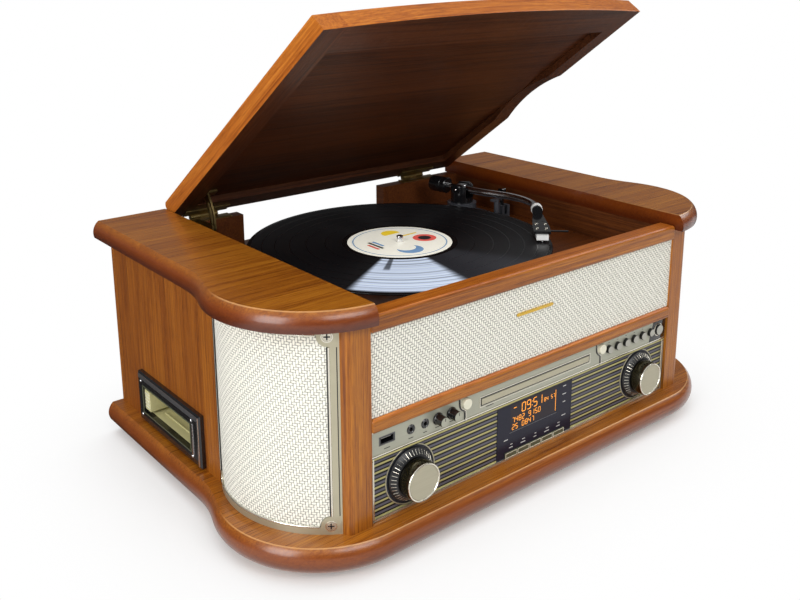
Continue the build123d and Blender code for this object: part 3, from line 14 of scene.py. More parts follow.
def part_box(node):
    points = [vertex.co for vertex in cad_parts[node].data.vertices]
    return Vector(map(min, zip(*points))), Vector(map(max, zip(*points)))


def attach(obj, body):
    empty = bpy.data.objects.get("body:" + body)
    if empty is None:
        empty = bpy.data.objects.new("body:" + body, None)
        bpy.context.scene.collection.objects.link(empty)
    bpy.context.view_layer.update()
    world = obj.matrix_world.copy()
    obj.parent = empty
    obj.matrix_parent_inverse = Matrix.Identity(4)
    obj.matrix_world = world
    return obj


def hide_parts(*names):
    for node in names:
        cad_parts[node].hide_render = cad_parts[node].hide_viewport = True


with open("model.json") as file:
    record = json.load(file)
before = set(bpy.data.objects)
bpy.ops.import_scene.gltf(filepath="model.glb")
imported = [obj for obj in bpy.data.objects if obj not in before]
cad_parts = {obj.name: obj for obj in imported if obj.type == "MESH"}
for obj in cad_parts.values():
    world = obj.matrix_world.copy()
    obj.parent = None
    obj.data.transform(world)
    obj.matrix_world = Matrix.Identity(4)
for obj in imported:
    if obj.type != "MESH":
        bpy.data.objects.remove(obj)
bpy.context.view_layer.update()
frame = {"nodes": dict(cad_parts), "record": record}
MM = 0.001


def span(node, axis):
    """Lowest and highest millimetre of a CAD node along x, y or z."""
    low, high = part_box(node)
    return low["xyz".index(axis)] / MM, high["xyz".index(axis)] / MM


def tone(red, green, blue):
    """A paint chip of 0 to 255 as light."""
    return tuple(((c / 255 + 0.055) / 1.055) ** 2.4 if c > 10 else c / 3295 for c in (red, green, blue))


# ======== sizes
FASCIA_FACE = span("fascia_moulding", "y")[0]
STRIPED_FACE = span("striped_panel", "y")[0]
WINDOW_FACE = span("display_window", "y")[0]
FASCIA_X = span("fascia_moulding", "x")[1]
FASCIA_TOP = span("fascia_moulding", "z")[1]
STRIPES_X = span("striped_panel", "x")[1]
STRIPES_LOW, STRIPES_TOP = span("striped_panel", "z")
KNOB_X = 148.0
KNOB_Z = 59.5
ROUND_X = 88.5
POWER_X = 178.0
CONTROL_Z = 100.0
USB_X = -173.0
AUX_X = -148.5
HEADPHONE_X = -133.5
BASS_X = -120.0
TREBLE_X = -105.0
KEY_PITCH = 15.7
KEY_Z = 35.2
PLATTER_X, PLATTER_Y = (sum(span("vinyl_record", axis)) / 2 for axis in "xy")
RECORD_TOP = span("vinyl_record", "z")[1]
LABEL_R = 52.0
GRILLE_X = 166.0
GRILLE_Y = -73.4
GRILLE_R = 95.5
ARM_X = 140.0
ARM_Y = 94.0
ARM_Z = 206.0
ARM_BACK = radians(102.0)
LID_OPEN = radians(36.0)
HINGE_Y = 176.0
HINGE_Z = 206.9
RECESS_FROM = 20.0  # the recess under the lid, from the hinge
RECESS_TO = 317.5
RECESS_X = 167.0  # its side walls, out from the middle
POST_X = 189.95  # the posts of the front frame start here, out from the middle
PANEL_FACE = span("front_cloth_panel", "y")[0]


# ======== shader kit
class Link:
    """A shader value that takes part in plain arithmetic."""

    def __init__(self, finish, socket):
        self.finish = finish
        self.socket = socket

    def math(self, operation, *values):
        return self.finish.node("ShaderNodeMath", {"operation": operation}, values)

    def __add__(self, other):
        return self.math("ADD", self, other)

    def __sub__(self, other):
        return self.math("SUBTRACT", self, other)

    def __rsub__(self, other):
        return self.math("SUBTRACT", other, self)

    def __mul__(self, other):
        return self.math("MULTIPLY", self, other)

    def __truediv__(self, other):
        return self.math("DIVIDE", self, other)

    def __pow__(self, other):
        return self.math("POWER", self, other)

    def __mod__(self, other):
        return self.math("FLOORED_MODULO", self, other)

    def __abs__(self):
        return self.math("ABSOLUTE", self)

    __radd__ = __add__
    __rmul__ = __mul__

    def above(self, limit):
        return self.math("GREATER_THAN", self, limit)

    def below(self, limit):
        return self.math("LESS_THAN", self, limit)

    def sine(self):
        return self.math("SINE", self)

    def floor(self):
        return self.math("FLOOR", self)

    def most(self, other):
        return self.math("MAXIMUM", self, other)

    def fade(self, low, high):
        """0 at low, 1 at high and smooth between them."""
        values = {"Value": self, "From Min": low, "From Max": high}
        return self.finish.node("ShaderNodeMapRange", {"interpolation_type": "SMOOTHSTEP"}, values)

    def line(self, middle, half, soft):
        """1 on a line this far to both sides of the middle, with soft edges."""
        return 1 - abs(self - middle).fade(half - soft, half + soft)


class Finish:
    """A material, or the world, that is put together node by node."""

    def __init__(self, name, owners=bpy.data.materials):
        self.material = owners.new(name)
        self.material.use_nodes = True
        self.tree = self.material.node_tree
        self.tree.nodes.clear()

    def node(self, kind, settings=None, values=(), output=0):
        node = self.tree.nodes.new(kind)
        for key, value in (settings or {}).items():
            if key == "stops":
                self.set_stops(node.color_ramp, value)
            else:
                setattr(node, key, value)
        for key, value in values.items() if isinstance(values, dict) else enumerate(values):
            if isinstance(value, Link):
                self.tree.links.new(value.socket, node.inputs[key])
            elif node.inputs[key].type == "RGBA":
                node.inputs[key].default_value = (*value[:3], 1)
            else:
                node.inputs[key].default_value = value
        return Link(self, node.outputs[output]) if node.outputs else node

    @staticmethod
    def set_stops(ramp, stops):
        while len(ramp.elements) < len(stops):
            ramp.elements.new(1)
        for element, (place, colour) in zip(ramp.elements, stops):
            element.position = place
            element.color = (*colour, 1)

    def place(self, scale=(1, 1, 1), shift=(0, 0, 0), turn=0.0):
        """Coordinates on the object in metres, turned about X, then moved and stretched."""
        here = self.node("ShaderNodeTexCoord", None, (), "Object")
        if turn:
            values = {"Vector": here, "Angle": turn}
            here = self.node("ShaderNodeVectorRotate", {"rotation_type": "X_AXIS"}, values)
        return self.node("ShaderNodeMapping", None, {"Vector": here, "Scale": scale, "Location": shift})

    def axes(self, kind="Object"):
        """X, Y and Z of the place on the object, or of its Normal."""
        here = self.node("ShaderNodeTexCoord", None, (), kind)
        return [self.node("ShaderNodeSeparateXYZ", None, [here], axis) for axis in "XYZ"]

    def noise(self, where, scale, detail=3.0, rough=0.5, warp=0.0):
        values = {"Vector": where, "Scale": scale, "Detail": detail, "Roughness": rough, "Distortion": warp}
        return self.node("ShaderNodeTexNoise", None, values)

    def ramp(self, value, *stops):
        return self.node("ShaderNodeValToRGB", {"stops": stops}, [value])

    def blend(self, share, low, high):
        """A colour that goes from low to high as share goes from 0 to 1."""
        return self.node("ShaderNodeMix", {"data_type": "RGBA"}, {0: share, 6: low, 7: high}, 2)

    def stain(self, share, colour, tint):
        """A colour multiplied by a tint, by that share."""
        settings = {"data_type": "RGBA", "blend_type": "MULTIPLY"}
        return self.node("ShaderNodeMix", settings, {0: share, 6: colour, 7: tint}, 2)

    def bump(self, height, depth, strength=1.0):
        """height of 1 stands depth metres proud."""
        return self.node("ShaderNodeBump", None, {"Height": height, "Distance": depth, "Strength": strength})

    def surface(self, **values):
        """Ends the material. Underscores in the names stand for spaces."""
        named = {key.replace("_", " "): value for key, value in values.items()}
        shader = self.node("ShaderNodeBsdfPrincipled", None, named)
        self.node("ShaderNodeOutputMaterial", None, [shader])
        return self.material


# ======== wood
GRAIN = {"x": (1.0, 12.0, 12.0), "y": (12.0, 1.0, 12.0), "z": (12.0, 12.0, 1.0)}
HONEY = (tone(186, 118, 32), tone(156, 90, 20), tone(112, 56, 12))
AMBER_WOOD = (tone(204, 124, 42), tone(178, 98, 28), tone(138, 68, 18))
SIDE_WOOD = (tone(174, 106, 28), tone(140, 76, 17), tone(102, 48, 11))
TEAK = (tone(116, 64, 26), tone(92, 47, 18), tone(64, 31, 13))
EARTH = (tone(98, 54, 28), tone(76, 40, 20), tone(44, 22, 12))
LOBE_REAR = (-95.0, -60.0)  # the lobes end between these places in Y


def grain_tone(wood, direction, shift, turn=0.0):
    """(figure, streak, pore) of timber whose grain runs one way."""
    along = GRAIN[direction]
    figure = wood.noise(wood.place(along, shift, turn), 2.4, 4.0, 0.55, 1.1)
    streak = wood.noise(wood.place([s**1.75 for s in along], shift, turn), 7.0, 6.0, 0.7, 0.4)
    pore = wood.noise(wood.place([s**1.5 for s in along], shift, turn), 60.0, 2.0, 0.6)
    return figure, streak, pore


def timber(wood, grains, colours):
    """Colour and height of lacquered timber, from its figure, streaks and pores."""
    figure, streak, pore = grains
    pale, mid, deep = colours
    colour = wood.ramp(figure * 0.3 + streak * 0.7, (0.37, deep), (0.48, mid), (0.62, pale))
    pits = 1 - pore.fade(0.38, 0.5)
    return wood.stain(pits * 0.6, colour, (0.5, 0.38, 0.3)), streak * 0.4 - pits


def lacquered(wood, colour, height, gloss=0.36, coat=0.3, shine=0.3):
    return wood.surface(
        Base_Color=colour,
        Roughness=height * 0.08 + gloss,
        Specular_IOR_Level=shine,
        Coat_Weight=coat,
        Coat_Roughness=0.2,
        Normal=wood.bump(height, 0.00005, 0.6),
    )


def honey_wood(name, direction, shift=(0, 0, 0), edge=0.0, arris=0.0, depth=16.0, colours=HONEY):
    """Honey stain. The rounded edges are stained redder and darker, partly as painted shade, with more
    painted shade lower down, and a painted highlight runs along the arris at that height.
    """
    wood = Finish(name)
    colour, height = timber(wood, grain_tone(wood, direction, shift), colours)
    if edge:
        steep = 1 - abs(wood.axes("Normal")[2]).fade(0.3, 0.985)
        level = wood.axes()[2] / MM
        low = (arris - level).fade(depth * 0.25, depth)
        # Steep faces are redder and darker: stain with painted shade in it.
        colour = wood.blend(steep * 0.6, colour, tone(150, 84, 24))
        height = height * (1 - steep * 0.8)
        colour = wood.stain(steep * edge, colour, (0.6, 0.4, 0.36))
        # Painted shade, deeper lower down the rounded edges.
        colour = wood.stain(low * steep, colour, (0.46, 0.36, 0.34))
        # A thin pale line under the arris on the lobes is a painted highlight.
        arris_highlight = level.line(arris - 0.3, 0.4, 0.3) * steep.fade(0.02, 0.12)
        on_lobe = 1 - (wood.axes()[1] / MM).fade(*LOBE_REAR)
        colour = wood.blend(arris_highlight * on_lobe * 0.45, colour, tone(226, 176, 116))
        return lacquered(wood, colour, height, 0.34, 0.6)
    return lacquered(wood, colour, height)


def front_frame_wood():
    """Upright grain in the posts and level grain in the rails, whose faces that turn up are painted a
    brighter amber, as lit from above.
    """
    wood = Finish("front_frame_wood")
    upright = abs(wood.axes()[0]).above(POST_X * MM)
    posts, post_height = timber(wood, grain_tone(wood, "z", (3, 1, 2)), HONEY)
    rails, rail_height = timber(wood, grain_tone(wood, "x", (5, 2, 1)), HONEY)
    # Painted light: rail faces that turn up are brighter and more amber.
    rail_lit_tops, _ = timber(wood, grain_tone(wood, "x", (5, 2, 1)), AMBER_WOOD)
    rails = wood.blend(wood.axes("Normal")[2].fade(0.3, 0.75), rails, rail_lit_tops)
    height = post_height * upright + rail_height * (1 - upright)
    return lacquered(wood, wood.blend(upright, rails, posts), height)


def lid_wood():
    """Honey outside, and dark stain on the faces that look down into the cabinet."""
    wood = Finish("lid_wood")
    _, y, z = wood.axes("Normal")
    under = (y * -sin(LID_OPEN) - z * cos(LID_OPEN)).fade(0.55, 0.75)
    across_x, back, up = wood.axes()
    inner = abs(across_x).below((RECESS_X + 0.2) * MM)
    side = abs(across_x).above((RECESS_X - 0.2) * MM)
    out = (HINGE_Y * MM - back) * cos(LID_OPEN) + (up - HINGE_Z * MM) * sin(LID_OPEN)
    recess = inner * out.above(RECESS_FROM * MM) * out.below(RECESS_TO * MM)
    downward = 1 - (y * sin(LID_OPEN) + z * cos(LID_OPEN)).fade(0.4, 0.6)
    under = under.most(recess * downward)
    along, height = timber(wood, grain_tone(wood, "y", (2, 4, 1), LID_OPEN), AMBER_WOOD)
    across, _ = timber(wood, grain_tone(wood, "x", (7, 1, 3), LID_OPEN), AMBER_WOOD)
    dark, _ = timber(wood, grain_tone(wood, "y", (1, 6, 2), LID_OPEN), EARTH)
    dark_across, _ = timber(wood, grain_tone(wood, "x", (4, 6, 2), LID_OPEN), EARTH)
    outside = wood.blend(side, across, along)
    inside = wood.blend(inner, dark, dark_across)
    return lacquered(wood, wood.blend(under, outside, inside), height, 0.42, 0.12, 0.2)


def dark_veneer(name, direction, colours, turn=0.0, gloss=0.42, coat=0.1, shine=0.3):
    wood = Finish(name)
    colour, height = timber(wood, grain_tone(wood, direction, (1, 2, 3), turn), colours)
    return lacquered(wood, colour, height, gloss, coat, shine)


# ======== other finishes
def moulded(name, colour, rough=0.4, metal=0.0, coat=0.0, mottle=0.04, grit=0.00001):
    """Moulded plastic, paint or cast metal, with a faint cloud of tone and a fine surface."""
    skin = Finish(name)
    cloud = skin.noise(skin.place(), 90.0, 4.0, 0.6)
    fine = skin.noise(skin.place(), 2500.0, 2.0, 0.5)
    low = [c * (1 - 2 * mottle) for c in colour]
    high = [min(c * (1 + 2 * mottle), 1) for c in colour]
    return skin.surface(
        Base_Color=skin.blend(cloud, low, high),
        Roughness=cloud * 0.08 + (rough - 0.04),
        Metallic=metal,
        Coat_Weight=coat,
        Coat_Roughness=0.05,
        Normal=skin.bump(fine, grit),
    )


def brushed(name, colour, along, rough=0.32, metal=1.0):
    """Metal with fine lines along one axis."""
    skin = Finish(name)
    scale = [1500.0] * 3
    scale["xyz".index(along)] = 12.0
    lines = skin.noise(skin.place(scale), 1.0, 2.0, 0.6)
    low = [c * 0.88 for c in colour]
    high = [min(c * 1.1, 1) for c in colour]
    return skin.surface(
        Base_Color=skin.blend(lines, low, high),
        Roughness=lines * 0.16 + (rough - 0.08),
        Metallic=metal,
        Normal=skin.bump(lines, 0.00001, 0.5),
    )


def capped(name, cap, side):
    """A button whose front is one colour and whose sides are another."""
    skin = Finish(name)
    front = (skin.axes("Normal")[1] * -1).fade(0.82, 0.95)
    cloud = skin.noise(skin.place(), 400.0)
    return skin.surface(
        Base_Color=skin.blend(front, side, cap),
        Roughness=cloud * 0.1 + 0.25,
        Metallic=front * 0.7,
    )


CLOTH_CREAM = tone(248, 246, 234)
CLOTH_GAP_SHADE = tone(112, 110, 100)
CELL = 0.0022


def basket_weave(name, across):
    """Cream twill, each thread over two and under two. across gives the way along the cloth in metres."""
    cloth = Finish(name)
    x, y, z = cloth.axes()
    wander = cloth.noise(cloth.place(), 220.0, 2.0) * 0.5
    u = across(x, y) / CELL + wander
    v = z / CELL + wander
    upright = ((u.floor() + v.floor()) % 4.0).below(1.5)
    rise = (((u.floor() + v) % 4.0) * (pi / 2)).sine().most(0.0)
    run = (((u + v.floor() + 2.0) % 4.0) * (pi / 2)).sine().most(0.0)
    upright_thread = ((u % 1.0) * pi).sine() ** 0.5 * (rise**0.6 * 0.7 + 0.3)
    level_thread = ((v % 1.0) * pi).sine() ** 0.5 * (run**0.6 * 0.7 + 0.1)
    height = upright_thread * upright + level_thread * (1 - upright)
    strand = cloth.noise(cloth.place(), 2200.0, 2.0)
    tired = cloth.noise(cloth.place(), 25.0, 3.0)
    cream = cloth.blend(tired, [c * 0.94 for c in CLOTH_CREAM], CLOTH_CREAM)
    return cloth.surface(
        # Colour darkens with thread height, towards the gaps and where threads dip under: painted shade.
        Base_Color=cloth.blend((height + strand * 0.25).fade(0.22, 0.8), CLOTH_GAP_SHADE, cream),
        Roughness=height * -0.1 + 0.85,
        Sheen_Weight=0.1,
        Normal=cloth.bump(height + strand * 0.1, 0.0005, 0.8),
    )


def round_the_grille(x, y):
    """The way round either speaker cloth."""
    out = abs(x) - GRILLE_X * MM
    return out.math("ARCTAN2", y - GRILLE_Y * MM, out) * (GRILLE_R * MM)


STRIPE = 6.6
STRIPE_CREAM = tone(186, 178, 120)
STRIPE_GREY = tone(96, 94, 106)
STRIPE_DARK = tone(22, 22, 20)


def striped_finish():
    """Level cream and grey lines on a dark sheet, with a plain round field at each big knob."""
    sheet = Finish("striped_sheet")
    x, _, z = sheet.axes()
    height = (z / MM - STRIPES_LOW) / STRIPE % 1.0
    cream = height.line(0.25, 0.13, 0.03)
    grey = height.line(0.72, 0.15, 0.04)
    cloud = sheet.noise(sheet.place((1, 1, 40)), 30.0)
    colour = sheet.blend(grey, STRIPE_DARK, STRIPE_GREY)
    colour = sheet.blend(cream * (cloud * 0.3 + 0.75), colour, STRIPE_CREAM)
    away = (((abs(x) / MM - KNOB_X) ** 2 + (z / MM - KNOB_Z) ** 2) ** 0.5).fade(25.0, 25.4)
    colour = sheet.blend(away, tone(38, 40, 48), colour)
    return sheet.surface(
        Base_Color=colour,
        Roughness=cloud * 0.06 + 0.3,
        Specular_IOR_Level=0.25,
        Normal=sheet.bump(cream + grey * 0.5, 0.0002, 0.7),
    )


def display_glass():
    """Dark blue panel with a slightly paler screen in it."""
    glass = Finish("display_glass")
    x, _, z = glass.axes()
    screen = (x / MM).line(-2.5, 30.0, 0.3) * (z / MM).line(70.0, 12.8, 0.3)
    cloud = glass.noise(glass.place(), 120.0)
    navy = glass.blend(cloud, tone(30, 31, 44), tone(36, 36, 50))
    return glass.surface(
        Base_Color=glass.blend(screen, navy, tone(44, 38, 44)),
        Roughness=cloud * 0.04 + 0.2,
        Specular_IOR_Level=0.2,
    )


def glowing(name, colour, strength):
    light = Finish(name)
    flicker = light.noise(light.place(), 900.0)
    return light.surface(
        Base_Color=colour,
        Roughness=flicker * 0.1 + 0.3,
        Emission_Color=light.blend(flicker, [c * 0.7 for c in colour], colour),
        Emission_Strength=strength,
    )


SHEEN_TURN = 129.0  # degrees, the painted groove sheen lies this far round from +X
TRACK_BREAKS = (74.0, 92.5, 108.5, 123.0, 135.5)


def vinyl_finish():
    """Black grooves with smooth breaks between the tracks. Their sheen is painted, so it turns with them."""
    vinyl = Finish("vinyl")
    x, y, _ = vinyl.axes()
    out = ((x / MM - PLATTER_X) ** 2 + (y / MM - PLATTER_Y) ** 2) ** 0.5
    grooved = out.fade(57.0, 58.0) * (1 - out.fade(146.0, 146.6))
    bands = out.line(TRACK_BREAKS[0], 0.5, 0.3)
    for radius in TRACK_BREAKS[1:]:
        bands = bands.most(out.line(radius, 0.5, 0.3))

    def rings(scale, detail):
        values = {"W": out, "Scale": scale, "Detail": detail}
        return vinyl.node("ShaderNodeTexNoise", {"noise_dimensions": "1D"}, values)

    loud = rings(1.6, 4.0)
    grooves = grooved * (1 - bands)
    ripple = (out * 9.0).sine() * 0.5 + loud
    round_it = out.math("ARCTAN2", y / MM - PLATTER_Y, x / MM - PLATTER_X) * (180 / pi) + SHEEN_TURN
    sheen = round_it.fade(-19.0, -15.0) * (1 - round_it.fade(23.0, 29.0))
    notch = round_it.line(-8.0, 2.0, 0.8) * (1 - out.fade(84.0, 92.0))
    # A fainter painted sheen further round.
    faint = round_it.fade(23.0, 29.0) * (1 - round_it.fade(58.0, 70.0))
    streaks = rings(0.23, 5.0).fade(0.3, 0.62) * 0.55 + 0.45
    sheen = sheen * (1 - notch * 0.8) * streaks * grooved * (1 - out.fade(141.0, 148.0) * 0.6)
    colour = vinyl.blend(loud * grooves * 0.4, tone(16, 16, 18), tone(44, 45, 50))
    colour = vinyl.blend(faint * grooved * 0.5, colour, tone(66, 68, 76))
    colour = vinyl.blend(sheen * 0.92, colour, tone(206, 217, 234))
    return vinyl.surface(
        Base_Color=colour,
        Metallic=grooves * 0.4 * (1 - sheen),
        Roughness=grooves * 0.2 + 0.16 + loud * 0.1,
        # The painted sheen also glows.
        Emission_Color=vinyl.blend(sheen, (0, 0, 0), tone(190, 204, 228)),
        Emission_Strength=0.5,
        Anisotropic=0.85,
        Anisotropic_Rotation=0.25,
        Normal=vinyl.bump(ripple * grooves, 0.00002, 0.5),
    )


def label_paper():
    """Cream label with plain coloured shapes round the hole, and a faint glow."""
    paper = Finish("label_paper")
    x, y, _ = paper.axes()
    x = x / MM - PLATTER_X
    y = y / MM - PLATTER_Y
    out = (x**2 + y**2) ** 0.5

    def dot(cx, cy, size):
        return 1 - (((x - cx) ** 2 + (y - cy) ** 2) ** 0.5).fade(size - 0.3, size + 0.3)

    colour = paper.blend(paper.noise(paper.place(), 300.0), tone(236, 232, 216), tone(243, 240, 228))
    shapes = (
        (out.line(46.5, 0.7, 0.3), tone(120, 150, 180)),
        (dot(27, -6, 12), tone(222, 92, 84)),
        (dot(27, -6, 6.5), tone(40, 38, 42)),
        (dot(-8, -26, 13) * (1 - dot(-8, -19, 10)), tone(112, 146, 184)),
        (dot(10, 27, 10) * y.above(24.0), tone(240, 205, 50)),
        (x.line(-27, 1.6, 0.3) * y.line(4, 12, 0.3), tone(44, 42, 44)),
        (x.line(-32, 1.6, 0.3) * y.line(1, 9, 0.3), tone(206, 84, 76)),
        (x.line(-22, 1.6, 0.3) * y.line(7, 9, 0.3), tone(112, 146, 184)),
        (x.line(20, 12, 0.3) * y.line(13, 1.4, 0.3), tone(236, 196, 44)),
    )
    for mask, paint in shapes:
        colour = paper.blend(mask, colour, paint)
    fibre = paper.noise(paper.place(), 1500.0, 2.0)
    return paper.surface(
        Base_Color=colour,
        Roughness=fibre * 0.1 + 0.4,
        Emission_Color=colour,
        Emission_Strength=0.3,
    )


def board_finish(name, colour):
    """Pressed board with flecks of fibre."""
    board = Finish(name)
    fleck = board.noise(board.place(), 700.0, 4.0, 0.7)
    low = [c * 0.72 for c in colour]
    return board.surface(
        Base_Color=board.blend(fleck, low, colour),
        Roughness=fleck * 0.1 + 0.75,
        Normal=board.bump(fleck, 0.0001, 0.4),
    )


def circuit_finish():
    """Green lacquer with a web of paler tracks."""
    board = Finish("circuit_board")
    values = {"Vector": board.place(), "Scale": 260.0}
    web = board.node("ShaderNodeTexVoronoi", {"feature": "DISTANCE_TO_EDGE"}, values)
    track = 1 - web.fade(0.04, 0.09)
    return board.surface(
        Base_Color=board.blend(track, tone(24, 78, 46), tone(60, 120, 70)),
        Roughness=track * -0.1 + 0.45,
        Coat_Weight=0.3,
    )


CHAMPAGNE = moulded("champagne", tone(178, 172, 148), 0.3, 0.5, 0.2)
BRIGHT = moulded("bright_trim", tone(226, 222, 208), 0.18, 0.9)
CHROME = moulded("chrome", tone(236, 236, 238), 0.17, 1.0)
SMOKED = moulded("smoked_chrome", tone(84, 80, 68), 0.18, 1.0)
CAP_SATIN = brushed("satin_cap", tone(176, 170, 148), "x", 0.4, 0.4)
BEVEL_GREY = moulded("bevel_grey", tone(96, 96, 98), 0.3, 0.5, 0.3)
WHITE_PRINT = moulded("white_print", tone(206, 206, 204), 0.5)
BRASS = moulded("old_brass", tone(164, 142, 92), 0.3, 1.0, 0.0, 0.12)
GOLD = moulded("gold", tone(222, 184, 86), 0.22, 1.0)
NICKEL = moulded("nickel", tone(206, 200, 184), 0.25, 0.8)
STEEL = brushed("steel", tone(170, 170, 172), "x")
ALUMINIUM = moulded("cast_aluminium", tone(190, 190, 192), 0.35, 1.0)
FASCIA_SILVER = brushed("fascia_silver", tone(172, 172, 156), "x", 0.36, 0.45)
GLOSS_BLACK = moulded("gloss_black", tone(20, 20, 22), 0.14, 0.0, 0.5)
SATIN_BLACK = moulded("satin_black", tone(26, 26, 28), 0.38)
RUBBER = moulded("rubber", tone(30, 30, 30), 0.75, 0.0, 0.0, 0.08, 0.00005)
CREAM = moulded("cream_plastic", tone(206, 200, 150), 0.35, 0.0, 0.2)
IVORY = moulded("ivory_button", tone(226, 222, 200), 0.25, 0.0, 0.4)
OLIVE = moulded("olive_key", tone(84, 88, 68), 0.3, 0.0, 0.3)
WHITE = moulded("white_plastic", tone(238, 238, 236), 0.3, 0.0, 0.3)
PEDESTAL_GREY = moulded("pedestal_grey", tone(66, 68, 74), 0.35, 0.0, 0.2)
CONE = moulded("cone_paper", tone(40, 38, 36), 0.8, 0.0, 0.0, 0.1, 0.0001)
BOARD = board_finish("pressed_board", tone(128, 92, 58))
CIRCUIT = circuit_finish()
AMBER = glowing("amber_light", tone(240, 150, 40), 0.75)
PALE_PRINT = moulded("pale_print", tone(150, 148, 140), 0.5)
SILVER_CAP = capped("silver_cap", tone(176, 174, 164), tone(14, 14, 15))

STRIPED = striped_finish()
PLINTH_TOP = span("base_plinth", "z")[1]
WING_TOP = span("top_wings", "z")[1]
CAD_FINISH = {
    "base_plinth": honey_wood("plinth_wood", "x", (0, 0, 0), 0.85, PLINTH_TOP, 24.0),
    "top_wings": honey_wood("wing_wood", "x", (2, 5, 1), 1.0, WING_TOP, 15.0),
    "side_panels": honey_wood("side_wood", "z", (1, 3, 4), colours=SIDE_WOOD),
    "front_frame": front_frame_wood(),
    "lid_frame": lid_wood(),
    "lid_panel": dark_veneer("lid_veneer", "x", EARTH, LID_OPEN, 0.46, 0.05, 0.15),
    "well_frame": dark_veneer("well_wood", "y", TEAK),
    "deck_plate": dark_veneer("deck_veneer", "x", TEAK, 0.0, 0.35, 0.3),
    "speaker_cloths": basket_weave("speaker_weave", round_the_grille),
    "front_cloth_panel": basket_weave("front_weave", lambda x, y: x),
    "striped_panel": STRIPED,
    "display_window": display_glass(),
    "vinyl_record": vinyl_finish(),
    "cartridge": WHITE,
    "tonearm_base": PEDESTAL_GREY,
}
SLOT_FINISH = {
    "board": BOARD,
    "champagne": CHAMPAGNE,
    "driver": CONE,
    "screw": NICKEL,
    "rubber": RUBBER,
    "fascia": FASCIA_SILVER,
    "key": OLIVE,
    "preset_cap": SILVER_CAP,
    "cream": IVORY,
    "knob": SATIN_BLACK,
    "black_plastic": GLOSS_BLACK,
    "cream_plastic": CREAM,
    "circuit": CIRCUIT,
    "platter": ALUMINIUM,
    "brass": BRASS,
    "steel": STEEL,
    "chrome": CHROME,
}


def dress_cad():
    """Gives every CAD node its finish, by its own name or else by its slot."""
    by_node = {part["node"]: part["material_slot"] for part in frame["record"]["subparts"]}
    for name, thing in frame["nodes"].items():
        finish = CAD_FINISH.get(name) or SLOT_FINISH[by_node[name]]
        for slot in thing.material_slots:
            slot.material = finish
        if not thing.material_slots:
            thing.data.materials.append(finish)


dress_cad()


# ======== mesh kit
def facing(x=0.0, y=0.0, z=0.0):
    """A place on the front, with its own X to the right, Y up and Z towards the user."""
    return Matrix(((1, 0, 0, x), (0, 0, -1, y), (0, 1, 0, z), (0, 0, 0, 1)))


def leftward(x=0.0, y=0.0, z=0.0):
    """A place on the left side, with its own X towards the front, Y up and Z outwards."""
    return Matrix(((0, 0, -1, x), (-1, 0, 0, y), (0, 1, 0, z), (0, 0, 0, 1)))


def rearward(x=0.0, y=0.0, z=0.0):
    """A place on the back, with its own X to the left, Y up and Z outwards."""
    return Matrix(((-1, 0, 0, x), (0, 0, 1, y), (0, 1, 0, z), (0, 0, 0, 1)))


def upward(x=0.0, y=0.0, z=0.0):
    return Matrix.Translation((x, y, z))


def toward(start, way, up=(0, 0, 1)):
    """A place at start whose own Z runs along way and whose Y is as near as it can be to up."""
    z = Vector(way).normalized()
    x = Vector(up).cross(z).normalized()
    y = z.cross(x)
    return Matrix.Translation(start) @ Matrix((x, y, z)).transposed().to_4x4()


SHARP_EDGE = radians(35.0)


